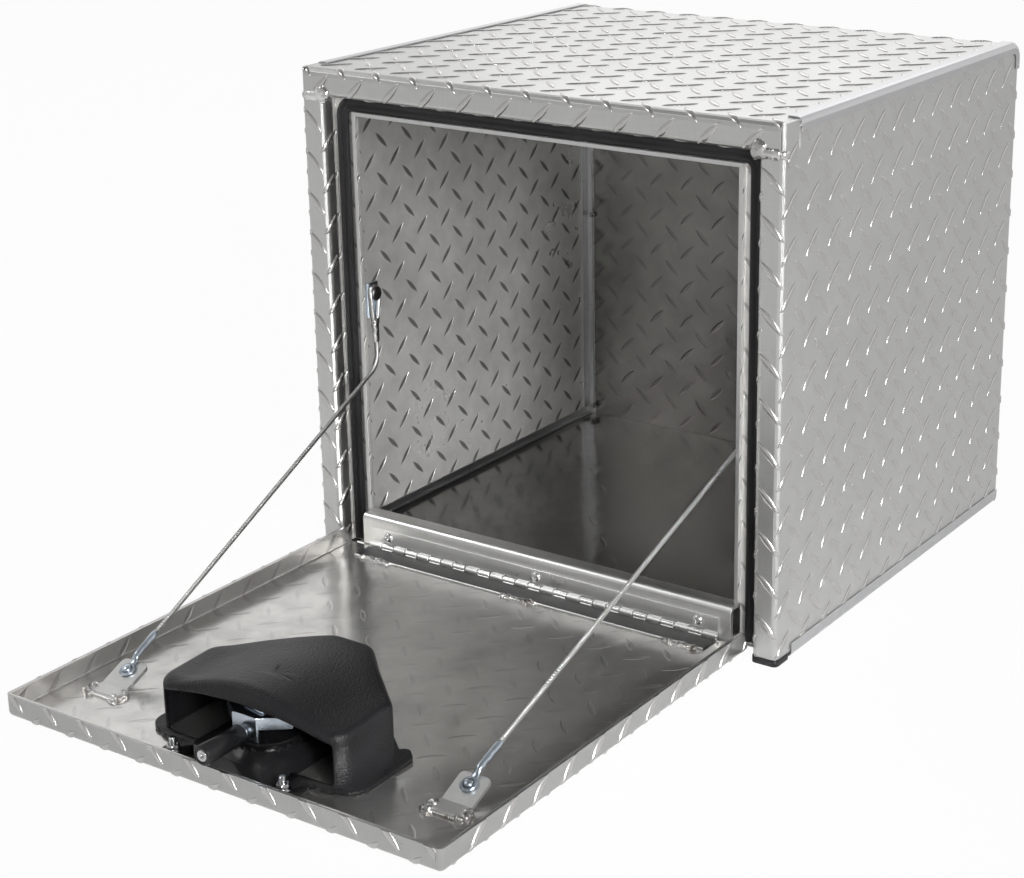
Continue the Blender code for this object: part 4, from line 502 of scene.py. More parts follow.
def within_group():
    """A mask of what lies between two corners of a box."""
    tree, nodes, start, end = new_group("Within", {"Vector": None, "Low": None, "High": None}, ("Mask",))
    place, low, high = (nodes.parts(start.outputs[name]) for name in ("Vector", "Low", "High"))
    mask = None
    for axis in "XYZ":
        for less, more in ((low, place), (place, high)):
            side = nodes.math("LESS_THAN", less[axis], more[axis])
            mask = side if mask is None else nodes.times(mask, side)
    nodes.feed(end, Mask=mask)
    return tree


def fine_grain_group():
    """Small pits and bumps of a moulded or cast face, with faint soft clouds."""
    tree, nodes, start, end = new_group("Fine grain", {"Vector": None, "Scale": 900.0}, ("Height", "Cloud"))
    cells = nodes.add("ShaderNodeTexVoronoi", feature="SMOOTH_F1")
    nodes.feed(cells, Vector=start.outputs["Vector"], Scale=start.outputs["Scale"], Smoothness=0.6)
    fine = nodes.noise(start.outputs["Vector"], 1600.0, 2.0, 0.6)
    cloud = nodes.noise(start.outputs["Vector"], 18.0, 5.0, 0.6, 0.5)
    height = nodes.plus(cells.outputs["Distance"], nodes.times(fine, 0.4))
    nodes.feed(end, Height=height, Cloud=cloud)
    return tree


def edge_wear_and_highlight_group():
    """A mask along sharp edges, where the softened normal leaves the true one, broken up by noise; the finishes
    paint these edges lighter, partly as worn edges and partly as a painted highlight.
    """
    tree, nodes, start, end = new_group("Edge wear", {"Vector": None, "Soft": None, "Amount": 0.5}, ("Mask",))
    shape = nodes.add("ShaderNodeNewGeometry")
    agreement = nodes.add("ShaderNodeVectorMath", operation="DOT_PRODUCT")
    nodes.links.new(shape.outputs["Normal"], agreement.inputs[0])
    nodes.links.new(start.outputs["Soft"], agreement.inputs[1])
    sharp = nodes.span(agreement.outputs["Value"], 0.995, 0.93, smooth=True)
    broken = nodes.noise(start.outputs["Vector"], 160.0, 5.0, 0.7)
    worn = nodes.times(sharp, nodes.span(broken, 0.35, 0.6))
    nodes.feed(end, Mask=nodes.times(worn, start.outputs["Amount"]))
    return tree


class Finish:
    """One material under construction: a shader, object coordinates and a normal softened at the edges."""

    def __init__(self, name, metallic, edge=0.35 * MM):
        self.material = bpy.data.materials.new(name)
        self.material.use_nodes = True
        self.nodes = Nodes(self.material.node_tree)
        self.shader = self.material.node_tree.nodes["Principled BSDF"]
        self.set(Metallic=metallic)
        coordinates = self.nodes.add("ShaderNodeTexCoord")
        self.place = coordinates.outputs["Object"]
        self.facing = coordinates.outputs["Normal"]
        bevel = self.nodes.add("ShaderNodeBevel", samples=4)
        bevel.inputs["Radius"].default_value = edge
        self.soft = bevel.outputs["Normal"]

    def group(self, tree, **values):
        node = self.nodes.add("ShaderNodeGroup", node_tree=tree)
        return self.nodes.feed(node, **values)

    def bump(self, height, distance, strength=1.0, base=None):
        node = self.nodes.add("ShaderNodeBump")
        normal = self.soft if base is None else base
        self.nodes.feed(node, Strength=strength, Distance=distance, Height=height, Normal=normal)
        return node.outputs["Normal"]

    def set(self, **sources):
        self.nodes.feed(self.shader, **sources)

    def coat(self, paint, rough, grain, depth, strength):
        """Join a paint, a roughness and a grain's bumps to the shader, and give the material."""
        self.set(Base_Color=paint, Roughness=rough, Normal=self.bump(grain.outputs["Height"], depth, strength))
        return self.material


def shade(colour, factor):
    """A colour made darker or lighter."""
    return tuple(min(1.0, c * factor) for c in colour)


def plate_finish(name, groups, colour, roughness, smudge):
    """Bare rolled aluminium."""
    made = Finish(name, 1.0, 0.6 * MM)
    grain = made.group(groups["grain"], Vector=made.place, Smudge=smudge, Streak=0.5)
    # Painted sheen: the colour clouds lighten and darken the paint, partly as smudges
    tone_and_sheen = made.nodes.span(grain.outputs["Tone"], -0.35, 0.35)
    paint = made.nodes.tint(tone_and_sheen, shade(colour, 0.80), shade(colour, 1.16))
    # Painted highlight: sharp edges painted lighter, partly as worn metal
    wear = made.group(groups["wear"], Vector=made.place, Soft=made.soft, Amount=0.5)
    paint = made.nodes.tint(wear.outputs["Mask"], paint, shade(colour, 1.45))
    dull = made.nodes.span(grain.outputs["Dullness"], -0.1, 0.6, roughness * 0.7, roughness * 1.45)
    normal = made.bump(grain.outputs["Height"], 0.05 * MM, 0.5)
    made.set(Base_Color=paint, Roughness=dull, Normal=normal)
    return made, paint, dull, normal


def pressed_plate_finish(name, groups, colour, inner_colour_with_painted_light, look, low, high):
    """Rolled aluminium whose inner faces, between two corners, show pressed dents, waves and dull streaks, with
    painted light and shade: the inner paint is set lighter on some plates and darker on others, the dents are
    painted darker, and the colour clouds are partly a painted reflection.
    """
    made, paint, dull, normal = plate_finish(name, groups, colour, look.roughness, look.smudge)
    nodes = made.nodes
    inner = made.group(groups["within"], Vector=made.place, Low=low, High=high).outputs["Mask"]
    pressed = made.group(groups["dents"], Vector=made.place, Normal=made.facing)
    # Colour clouds of the inner faces: partly the plate's own uneven colour, partly a painted reflection
    cloud = nodes.noise(nodes.stretched(made.place, (9.0, 6.0, 9.0), (0.3, 0.2, 0.6)), 1.0, 3.0, 0.5, 0.2)
    mottle_and_reflection = nodes.noise(made.place, 55.0, 3.0, 0.5)
    tone_and_sheen = nodes.plus(nodes.times(cloud, 0.7), nodes.times(mottle_and_reflection, 0.3))
    face = nodes.tint(nodes.span(tone_and_sheen, 0.32, 0.68), shade(inner_colour_with_painted_light, 0.76), shade(inner_colour_with_painted_light, 1.22))
    # Painted shade: the dents are painted darker, for the shade in their hollows
    painted_dent_shade = nodes.times(pressed.outputs["Dent"], look.darkness)
    face = nodes.tint(painted_dent_shade, face, shade(inner_colour_with_painted_light, 0.16))
    paint = nodes.tint(inner, paint, face)
    inner_dull = nodes.span(tone_and_sheen, 0.35, 0.65, look.inner_roughness * 1.2, look.inner_roughness * 0.85)
    rough = nodes.span(inner, 0.0, 1.0, dull, inner_dull)
    slow = nodes.noise(nodes.stretched(made.place, (17.0, 10.0, 14.0), (0.2, 0.1, 0.7)), 1.0, 2.0, 0.45, 0.2)
    dents = nodes.times(pressed.outputs["Height"], look.depth)
    shape = nodes.plus(dents, nodes.times(slow, look.wave))
    normal = made.bump(nodes.times(shape, inner), MM, 1.0, normal)
    made.set(Base_Color=paint, Roughness=rough, Normal=normal)
    if look.haze:
        made.set(Metallic=nodes.span(inner, 0.0, 1.0, 1.0, 1.0 - look.haze))
    return made.material


def metal_finish(name, groups, colour, roughness, variation):
    """Plain or plated steel with soft colour changes, and edges painted lighter: partly worn, partly a painted
    highlight.
    """
    made = Finish(name, 1.0)
    grain = made.group(groups["fine"], Vector=made.place, Scale=METAL_GRAIN)
    wear = made.group(groups["wear"], Vector=made.place, Soft=made.soft, Amount=0.6)
    low, high = shade(colour, 1 - variation), shade(colour, 1 + variation)
    paint = made.nodes.tint(made.nodes.span(grain.outputs["Cloud"], 0.3, 0.7), low, high)
    # Painted highlight: sharp edges painted lighter, partly as worn metal
    paint = made.nodes.tint(wear.outputs["Mask"], paint, shade(colour, 1.5))
    rough = made.nodes.span(grain.outputs["Cloud"], 0.3, 0.7, roughness * 1.35, roughness * 0.75)
    return made.coat(paint, rough, grain, METAL_GRAIN_DEPTH, 0.35)


def shaded_leaf_finish(groups, colour, knuckle):
    """The door's hinge leaf: dull steel painted near-black as painted shade, with bright knuckles and a painted
    highlight along its front edge.
    """
    made = Finish("hinge_leaf_finish", 1.0)
    grain = made.group(groups["fine"], Vector=made.place, Scale=METAL_GRAIN)
    margin = Vector((MM, MM, MM))
    knuckles = Vector((LEAF_LOW.x - MM, HINGE_PIN_Y - KNUCKLE_REACH, LEAF_LOW.z - MM))
    bright = made.group(groups["within"], Vector=made.place, Low=knuckles, High=LEAF_HIGH + margin)
    cloud = made.nodes.span(grain.outputs["Cloud"], 0.3, 0.7)
    # Painted shade: the leaf is painted near-black, its knuckles bright
    painted_shade_leaf = made.nodes.tint(cloud, shade(colour, 0.8), shade(colour, 1.3))
    light = made.nodes.tint(cloud, shade(knuckle, 0.9), shade(knuckle, 1.1))
    # Painted highlight: a bright strip along the leaf's front edge
    highlight_rim_high = Vector((LEAF_HIGH.x + MM, LEAF_LOW.y + LEAF_HIGHLIGHT_RIM, LEAF_HIGH.z))
    painted_highlight_rim = made.group(groups["within"], Vector=made.place, Low=LEAF_LOW - margin, High=highlight_rim_high)
    knuckles_and_highlight = made.nodes.math("MAXIMUM", bright.outputs["Mask"], painted_highlight_rim.outputs["Mask"])
    paint = made.nodes.tint(knuckles_and_highlight, painted_shade_leaf, light)
    rough = made.nodes.span(knuckles_and_highlight, 0.0, 1.0, 0.42, 0.24)
    return made.coat(paint, rough, grain, METAL_GRAIN_DEPTH, 0.35)


def black_finish(name, groups, colour, roughness, grain_depth, grain_scale, edge):
    """Black plastic, rubber or coating with its grain, a little dust in it, and edges painted lighter: partly
    worn, partly a painted highlight.
    """
    made = Finish(name, 0.0, edge)
    grain = made.group(groups["fine"], Vector=made.place, Scale=grain_scale)
    wear = made.group(groups["wear"], Vector=made.place, Soft=made.soft, Amount=0.3)
    cloud = made.nodes.span(grain.outputs["Cloud"], 0.3, 0.7)
    paint = made.nodes.tint(cloud, shade(colour, 0.7), shade(colour, 1.6))
    # Painted highlight: sharp edges painted lighter, partly as worn black
    paint = made.nodes.tint(wear.outputs["Mask"], paint, WORN_AND_HIGHLIGHT_BLACK)
    rough = made.nodes.span(grain.outputs["Cloud"], 0.25, 0.75, roughness * 0.85, roughness * 1.2)
    made.set(Specular_IOR_Level=BLACK_GLOSS)
    return made.coat(paint, rough, grain, grain_depth, 0.8)


def weld_finish(name, groups, soot_share):
    """Bright weld metal, with heat colours and soot beside the bead."""
    made = Finish(name, 1.0)
    grain = made.group(groups["fine"], Vector=made.place, Scale=420.0)
    cloud = made.nodes.span(grain.outputs["Cloud"], 0.42, 0.62)
    paint = made.nodes.tint(cloud, DULL_WELD, BRIGHT_WELD)
    soot = made.nodes.span(
        made.nodes.noise(made.place, 130.0, 5.0, 0.7), 0.66 - soot_share, 0.76 - soot_share, 0.0, 1.0)
    paint = made.nodes.tint(soot, paint, SOOT)
    rough = made.nodes.span(soot, 0.0, 1.0, 0.16, 0.5)
    return made.coat(paint, rough, grain, 0.10 * MM, 0.7)


def make_finishes():
    """All materials of the part, by name."""
    scene = bpy.context.scene
    colours, tread = scene.toolbox_finish, scene.toolbox_tread
    groups = {
        "grain": rolled_grain_group(),
        "dents": pressed_dent_group(tread),
        "within": within_group(),
        "fine": fine_grain_group(),
        "wear": edge_wear_and_highlight_group(),
    }
    plate, inside, steel = tuple(colours.plate), tuple(colours.inside), tuple(colours.steel)
    half = SHEET / 2
    box_low = (half - FACE_X, FRONT + INNER_START, SHEET * 0.2)
    box_high = (FACE_X - half, FACE_REAR - half, FACE_TOP - half)
    door_low = (half - DOOR_HALF_WIDTH, DOOR_FREE + half, DOOR_FACE + half)
    door_high = (DOOR_HALF_WIDTH - half, DOOR_HEEL, DOOR_RIM + MM)
    made = {}
    # Painted light and shade: the same aluminium painted per plate; side walls' inner faces lighter, rear's and
    # floor's inner faces much darker, door's outer face darker
    for key, name, outer_painted_shade, within, look, low, high in (
        ("plate", "rolled_plate", 1.0, 1.15, WALL_LOOK, box_low, box_high),
        ("rear_plate", "rolled_plate_rear", 1.0, 0.31, REAR_LOOK, box_low, box_high),
        ("floor_plate", "rolled_plate_floor", 1.0, 0.38, FLOOR_LOOK, box_low, box_high),
        ("door_plate", "rolled_plate_door", 0.82, 1.08, DOOR_LOOK, door_low, door_high),
    ):
        made[key] = pressed_plate_finish(
            name, groups, shade(plate, outer_painted_shade), shade(inside, within), look, low, high)
    for key, name, colour, roughness, smudge in (
        ("bars", "raised_bars", tuple(colours.bars), 0.25, 0.3),
        # Painted sheen: the sill is the same rolled aluminium, painted lighter
        ("sill", "folded_sill", shade(plate, 1.3), 0.26, 0.9),
        ("extrusion", "extrusion", tuple(colours.extrusion), 0.32, 0.3),
        ("bracket", "satin_bracket", shade(plate, 1.2), 0.40, 0.4),
    ):
        made[key] = plate_finish(name, groups, colour, roughness, smudge)[0].material
    for key, name, colour, roughness, variation in (
        ("barrel", "rolled_hinge_finish", shade(plate, 1.45), 0.32, 0.1),
        ("screw", "screw_finish", shade(plate, 1.25), 0.18, 0.12),
        ("steel", "bright_steel_finish", steel, 0.22, 0.25),
        ("dark_steel", "dark_steel_finish", shade(steel, 0.3), 0.3, 0.25),
        ("rope", "wire_rope_finish", shade(plate, 0.85), 0.30, 0.15),
        ("zinc", "zinc_finish", tuple(colours.zinc), 0.22, 0.4),
    ):
        made[key] = metal_finish(name, groups, colour, roughness, variation)
    for key, name, colour, roughness, grain_depth, grain_scale, edge in (
        ("plastic", "moulded_plastic_finish", colours.plastic, 0.36, 0.42 * MM, 620.0, 1.4 * MM),
        ("rubber", "rubber_finish", colours.rubber, 0.42, 0.05 * MM, 1200.0, 0.4 * MM),
        ("cast", "cast_dish_finish", colours.cast, 0.22, 0.03 * MM, 600.0, 0.4 * MM),
    ):
        made[key] = black_finish(name, groups, tuple(colour), roughness, grain_depth, grain_scale, edge)
    # The door's hinge leaf: painted shade on the leaf, a painted highlight along its front edge
    made["leaf"] = shaded_leaf_finish(groups, tuple(colours.leaf), shade(plate, 1.45))
    made["weld"] = weld_finish("weld_bead", groups, 0.0)
    made["scorched_weld"] = weld_finish("scorched_weld_bead", groups, 0.12)
    return made


def new_object(name, data):
    """An object linked to the scene."""
    made = bpy.data.objects.new(name, data)
    bpy.context.scene.collection.objects.link(made)
    return made


def make_piece(bm, name, finish, body, angle=40.0):
    """Turn a finished mesh into a piece that rides on a body."""
    bmesh.ops.remove_doubles(bm, verts=bm.verts, dist=0.001 * MM)
    bmesh.ops.recalc_face_normals(bm, faces=bm.faces)
    mesh = bpy.data.meshes.new(name)
    bm.to_mesh(mesh)
    bm.free()
    mesh.shade_smooth()
    mesh.set_sharp_from_angle(angle=math.radians(angle))
    piece = new_object(name, mesh)
    mesh.materials.append(FINISHES[finish])
    if body:
        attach(piece, body)
    return piece


def around(count):
    """Cosine and sine of evenly spaced turns."""
    for i in range(count):
        turn = 2 * math.pi * i / count
        yield math.cos(turn), math.sin(turn)


def circle_ring(matrix, radius, level, sides):
    """Places on a circle round the matrix's own Z."""
    return [matrix @ Vector((radius * c, radius * s, level)) for c, s in around(sides)]


def polar(reach, turn, level):
    """A place by its reach, its turn round the axis and its level."""
    return Vector((reach * math.cos(turn), reach * math.sin(turn), level))


def join_loops(bm, low, high):
    """Faces between two loops of as many points."""
    count = len(low)
    for i in range(count):
        j = (i + 1) % count
        bm.faces.new((low[i], low[j], high[j], high[i]))


def skin(bm, rings, closed=False):
    """A skin over rings of points, with capped ends unless the rings close on themselves."""
    loops = [[bm.verts.new(p) for p in ring] for ring in rings]
    pairs = list(zip(loops, loops[1:]))
    if closed:
        pairs.append((loops[-1], loops[0]))
    else:
        bm.faces.new(loops[0])
        bm.faces.new(loops[-1])
    for low, high in pairs:
        join_loops(bm, low, high)


def turned(bm, profile, matrix, sides):
    """A turned solid from radii and heights along the matrix's own Z, from the axis to the axis."""
    loops = []
    for radius, height in profile:
        if radius == 0:
            loops.append([bm.verts.new(matrix @ Vector((0, 0, height)))])
        else:
            loops.append([bm.verts.new(p) for p in circle_ring(matrix, radius, height, sides)])
    for low, high in zip(loops, loops[1:]):
        for i in range(sides):
            j = (i + 1) % sides
            corners = [low[i % len(low)], low[j % len(low)], high[j % len(high)], high[i % len(high)]]
            bm.faces.new(list(dict.fromkeys(corners)))


def across_of(way):
    """A flat direction turned left by a right angle."""
    return Vector((-way.y, way.x))


class FoldedFace:
    """The outer line of a folded plate, unrolled: a run along it gives a place and the way it faces there."""

    def __init__(self, corners, radii, outward):
        self.outward = outward
        self.stretches = []
        points = [Vector(c) for c in corners]
        run = 0.0
        here = points[0]
        for i in range(1, len(points)):
            start = points[i - 1]
            along = (points[i] - start).normalized()
            if i == len(points) - 1:
                length = (points[i] - here).length
                self.stretches.append((run, run + length, here, along, None))
                break
            after = (points[i + 1] - points[i]).normalized()
            turn = math.atan2(along.cross(after), along.dot(after))
            trim = radii[i] * math.tan(abs(turn) / 2)
            fold_start = points[i] - along * trim
            length = (fold_start - here).length
            self.stretches.append((run, run + length, here, along, None))
            run += length
            sign = math.copysign(1.0, turn)
            centre = fold_start + across_of(along) * (sign * radii[i])
            length = radii[i] * abs(turn)
            self.stretches.append((run, run + length, centre, fold_start - centre, sign / radii[i]))
            run += length
            here = points[i] + after * trim
        self.length = self.stretches[-1][1]

    def at(self, run):
        """The place and the outward direction at a run."""
        for start, end, point, arm, bend in self.stretches:
            if run <= end or end == self.length:
                if bend is None:
                    return point + arm * (run - start), across_of(arm) * self.outward
                turned_arm = arm.copy()
                turned_arm.rotate(Matrix.Rotation((run - start) * bend, 2))
                return point + turned_arm, turned_arm.normalized() * math.copysign(1.0, -bend * self.outward)
        return None

    def run_of(self, stretch):
        """Where a stretch starts and ends."""
        return self.stretches[stretch][:2]


def bar_rings(centre, tilt, tread):
    """Cross sections of one raised bar, in run, across and height."""
    along = Vector((math.cos(tilt), math.sin(tilt)))
    off = across_of(along)
    rings = []
    for k in range(1, BAR_STATIONS):
        share = -math.cos(math.pi * k / BAR_STATIONS)
        half = tread.width / 2 * (1 - share ** 2) ** 0.85
        crest = tread.height * (1 - share ** 4) ** 0.7
        middle = Vector(centre) + along * (share * tread.length / 2)
        ring = []
        for side, level in BAR_PROFILE:
            point = middle + off * (side * half)
            ring.append(Vector((point.x, point.y, -BAR_SINK if level is None else crest * level)))
        rings.append(ring)
    tips = [Vector(centre) + along * (end * tread.length / 2) for end in (-1, 1)]
    return rings, [Vector((tip.x, tip.y, -BAR_SINK / 2)) for tip in tips]


def add_bar(bm, centre, tilt, tread):
    """One raised bar, pointed at both ends."""
    rings, tips = bar_rings(centre, tilt, tread)
    loops = [[bm.verts.new(p) for p in ring] for ring in rings]
    first, last = (bm.verts.new(p) for p in tips)
    for low, high in zip(loops, loops[1:]):
        join_loops(bm, low, high)
    count = len(loops[0])
    for i in range(count):
        j = (i + 1) % count
        bm.faces.new((loops[0][j], loops[0][i], first))
        bm.faces.new((loops[-1][i], loops[-1][j], last))


def trim_bars(bm, limits):
    """Cut the bars off straight at the plate's edges and close the cuts."""
    for axis, level, sign in limits:
        normal = Vector((sign, 0, 0)) if axis == "run" else Vector((0, sign, 0))
        place = normal * (level * sign)
        found = bmesh.ops.bisect_plane(
            bm, geom=bm.verts[:] + bm.edges[:] + bm.faces[:], plane_co=place, plane_no=normal, clear_outer=True)
        edges = [e for e in found["geom_cut"] if isinstance(e, bmesh.types.BMEdge)]
        if edges:
            bmesh.ops.holes_fill(bm, edges=edges, sides=0)


def tread_bars(areas, name, body, tread):
    """Raised bars over a plate's areas. An area is a folded face, its bars, its limits and its map to space."""
    whole = bmesh.new()
    for face, centres, limits, to_space in areas:
        bm = bmesh.new()
        for centre, tilt in centres:
            add_bar(bm, centre, tilt, tread)
        trim_bars(bm, limits)
        for vert in bm.verts:
            run, across, height = vert.co
            point, outward = face.at(run)
            vert.co = to_space(point + outward * height, across)
        bmesh.ops.recalc_face_normals(bm, faces=bm.faces)
        patch = bpy.data.meshes.new(name)
        bm.to_mesh(patch)
        bm.free()
        whole.from_mesh(patch)
        bpy.data.meshes.remove(patch)
    return make_piece(whole, name, "bars", body, 50.0)


def lattice(run_start, across_start, run_span, across_span, pitch_run, pitch_across, rising=1):
    """Bar centres and tilts over a span, for both directions of the pattern."""
    found = []
    for offset, tilt in ((0.0, rising * math.pi / 4), (0.5, -rising * math.pi / 4)):
        first_run = run_start + offset * pitch_run
        first_across = across_start + offset * pitch_across
        low = math.ceil((run_span[0] - first_run) / pitch_run - 0.4)
        high = math.floor((run_span[1] - first_run) / pitch_run + 0.4)
        left = math.ceil((across_span[0] - first_across) / pitch_across - 0.4)
        right = math.floor((across_span[1] - first_across) / pitch_across + 0.4)
        for i in range(low, high + 1):
            for j in range(left, right + 1):
                found.append(((first_run + i * pitch_run, first_across + j * pitch_across), tilt))
    return found


def spans_to_limits(run_span, across_span):
    """The four straight cuts round an area."""
    return [
        ("run", run_span[0], -1), ("run", run_span[1], 1), ("across", across_span[0], -1),
        ("across", across_span[1], 1)]


class TOOLBOX_OT_stage(bpy.types.Operator):
    """Make the camera, the floor and the studio light"""
    bl_idname = "toolbox.stage"
    bl_label = "Stage"

    def execute(self, context):
        settings = context.scene.toolbox_stage
        self.make_camera(context)
        self.make_floor(settings)
        self.make_world(context)
        self.make_lights(settings)
        context.scene.view_settings.view_transform = "Standard"
        return {"FINISHED"}

    def make_camera(self, context):
        data = bpy.data.cameras.new("photo_camera")
        camera = new_object("photo_camera", data)
        turn = Matrix.Rotation(CAMERA_YAW, 4, "Z") @ Matrix.Rotation(math.pi / 2 - CAMERA_PITCH, 4, "X")
        camera.matrix_world = Matrix.Translation(CAMERA_PLACE) @ turn @ Matrix.Rotation(CAMERA_ROLL, 4, "Z")
        data.sensor_fit = "HORIZONTAL"
        data.sensor_width = 36.0
        data.lens = FOCAL_PIXELS / FRAME_WIDTH * data.sensor_width
        data.shift_x = -CENTRE_SHIFT_X / FRAME_WIDTH
        data.shift_y = CENTRE_SHIFT_Y / FRAME_WIDTH
        data.clip_end = 50.0
        context.scene.camera = camera

    def make_floor(self, settings):
        bm = bmesh.new()
        bmesh.ops.create_circle(bm, cap_ends=True, radius=FLOOR_RADIUS, segments=96)
        mesh = bpy.data.meshes.new("studio_floor")
        bm.to_mesh(mesh)
        bm.free()
        floor = new_object("studio_floor", mesh)
        floor.location.z = -FLOOR_DROP
        paint = bpy.data.materials.new("studio_floor_paint")
        paint.use_nodes = True
        nodes = Nodes(paint.node_tree)
        shader = paint.node_tree.nodes["Principled BSDF"]
        shader.inputs["Roughness"].default_value = 0.9
        coordinates = nodes.add("ShaderNodeTexCoord")
        cloud = nodes.noise(coordinates.outputs["Object"], 3.0, 3.0)
        colour = tuple(settings.floor)
        nodes.links.new(nodes.tint(cloud, shade(colour, 0.985), colour), shader.inputs["Base Color"])
        white = nodes.add("ShaderNodeEmission")
        white.inputs["Strength"].default_value = 1.0
        path = nodes.add("ShaderNodeLightPath")
        mirrored = nodes.math("MAXIMUM", path.outputs["Is Glossy Ray"], path.outputs["Is Transmission Ray"])
        white_share = nodes.times(path.outputs["Is Camera Ray"], FLOOR_WHITE)
        seen = nodes.math("MAXIMUM", white_share, nodes.times(mirrored, FLOOR_MIRRORED))
        blend = nodes.add("ShaderNodeMixShader")
        for index, source in enumerate((seen, shader.outputs[0], white.outputs[0])):
            nodes.links.new(source, blend.inputs[index])
        nodes.links.new(blend.outputs[0], paint.node_tree.nodes["Material Output"].inputs["Surface"])
        mesh.materials.append(paint)

    def make_world(self, context):
        """White to the camera, and for the object a white room behind it that falls off to the front."""
        world = bpy.data.worlds.new("studio_world")
        context.scene.world = world
        world.use_nodes = True
        nodes = Nodes(world.node_tree)
        back = world.node_tree.nodes["Background"]
        back.inputs["Color"].default_value = (1.0, 1.0, 1.0, 1.0)
        coordinates = nodes.add("ShaderNodeTexCoord")
        place = nodes.parts(coordinates.outputs["Generated"])
        room = nodes.span(place["Y"], -0.45, 0.35, ROOM_FRONT, ROOM_REAR, smooth=True)
        room = nodes.times(room, nodes.span(place["Z"], 0.35, 0.8, 1.0, ROOM_TOP, smooth=True))
        path = nodes.add("ShaderNodeLightPath")
        glossy = nodes.math("MAXIMUM", path.outputs["Is Glossy Ray"], path.outputs["Is Transmission Ray"])
        room = nodes.times(room, nodes.span(glossy, 0.0, 1.0, ROOM_LIGHT, 1.0))
        nodes.links.new(nodes.span(path.outputs["Is Camera Ray"], 0.0, 1.0, room, 1.0), back.inputs["Strength"])

    def make_lights(self, settings):
        for name, setting, where, target, size, spread in LAMPS:
            data = bpy.data.lights.new(name, "AREA")
            data.spread = math.radians(spread)
            data.energy = getattr(settings, setting)
            data.shape = "RECTANGLE"
            data.size = size
            data.size_y = size * 0.7
            lamp = new_object(name, data)
            lamp.visible_camera = False
            lamp.location = where
            lamp.rotation_euler = (Vector(target) - Vector(where)).to_track_quat("-Z", "Y").to_euler()


class TOOLBOX_OT_finishes(bpy.types.Operator):
    """Make the finishes and put them on the frame's pieces"""
    bl_idname = "toolbox.finishes"
    bl_label = "Finishes"

    def execute(self, context):
        FINISHES.update(make_finishes())
        for finish, names in NODE_FINISHES.items():
            for name in names:
                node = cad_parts[name]
                for slot in node.material_slots:
                    slot.material = FINISHES[finish]
        return {"FINISHED"}


class TOOLBOX_OT_box_tread(bpy.types.Operator):
    """Raise the tread bars of the box's plates"""
    bl_idname = "toolbox.box_tread"
    bl_label = "Box tread"

    def execute(self, context):
        tread = context.scene.toolbox_tread
        for side, name in SIDES:
            self.side_bars(side, name, tread)
        self.top_bars(tread)
        self.rear_bars(tread)
        return {"FINISHED"}

    def side_bars(self, side, name, tread):
        """Bars of a side plate and its jamb: behind the extrusion's end, before it and beside the header."""
        corners = [
            (side * (FACE_X - REAR_FLANGE), FACE_REAR), (side * FACE_X, FACE_REAR), (side * FACE_X, FRONT),
            (side * JAMB_X, FRONT), (side * JAMB_X, FRONT + RETURN_REACH + FOLD_OUTER)]
        face = FoldedFace(corners, [0, FOLD_OUTER, FOLD_OUTER, FOLD_OUTER, 0], side)
        pitch = tread.pitch
        side_end = face.run_of(2)[1]
        run_start = side_end - (SIDE_BAR_DEPTH - FOLD_OUTER)
        upper = HEADER_BOTTOM - SHEET / 10
        upper_leg = BOX_HEIGHT - SIDE_LEG
        bars = lattice(run_start, SIDE_BAR_HEIGHT, (0, face.length), (0, BOX_HEIGHT), pitch, pitch, -side)
        leg_run = side_end + FOLD_OUTER - (EXTRUSION_START - FRONT)
        reach = tread.length * BAR_REACH
        main, front, wrap = [], [], []
        for (run, up), tilt in bars:
            if run + reach < leg_run:
                main.append(((run, up), tilt))
            elif up + reach > upper:
                wrap.append(((run, up), tilt))
            else:
                front.append(((run, up), tilt))
        areas = [
            (face, main, spans_to_limits((0, leg_run), (BOTTOM_LEG, upper_leg)), side_space),
            (face, front, spans_to_limits((0, face.length), (JAMB_END, upper)), side_space),
            (face, wrap, spans_to_limits((0, side_end), (JAMB_END, upper_leg)), side_space),
        ]
        tread_bars(areas, f"tread_{name}_side", "box", tread)

    def top_bars(self, tread):
        """Bars of the top plate and the header that is folded from it."""
        corners = [
            (FACE_REAR, HEADER_BOTTOM), (FACE_REAR, FACE_TOP), (FRONT, FACE_TOP), (FRONT, HEADER_BOTTOM),
            (FRONT + RETURN_REACH + FOLD_OUTER, HEADER_BOTTOM)]
        face = FoldedFace(corners, [0, REAR_FOLD_OUTER, HEADER_FOLD_OUTER, FOLD_OUTER, 0], -1)
        run_start = face.run_of(4)[1] - (HEADER_BAR_HEIGHT - FOLD_OUTER)
        wide = HALF_WIDTH - SHEET - TOP_CLEAR
        narrow = HALF_WIDTH - TOP_LEG
        bars = lattice(
            run_start, HEADER_BAR_X, (0, face.length), (-wide, wide), tread.pitch, tread.pitch_across, -1)
        leg_run = face.run_of(2)[1] + HEADER_FOLD_OUTER - (EXTRUSION_START - FRONT)
        reach = tread.length * BAR_REACH
        main = [b for b in bars if b[0][0] - reach < leg_run]
        header = [b for b in bars if b[0][0] - reach >= leg_run]
        areas = [
            (face, main, spans_to_limits((0, face.length), (-narrow, narrow)), roof_space),
            (face, header, spans_to_limits((0, face.length), (-wide, wide)), roof_space),
        ]
        tread_bars(areas, "tread_top", "box", tread)

    def rear_bars(self, tread):
        half = FACE_X - REAR_FLANGE
        face = FoldedFace([(-half, FACE_REAR), (half, FACE_REAR)], [0, 0], 1)
        pitch = tread.pitch
        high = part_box("rear_panel")[1].z
        bars = lattice(half, SIDE_BAR_HEIGHT, (0, face.length), (0, high), pitch, pitch, 1)
        areas = [(face, bars, spans_to_limits((0, face.length), (SHEET, high)), side_space)]
        tread_bars(areas, "tread_rear", "box", tread)


def side_space(point, across):
    """From an upright fold to space: the run lies flat."""
    return Vector((point.x, point.y, across))


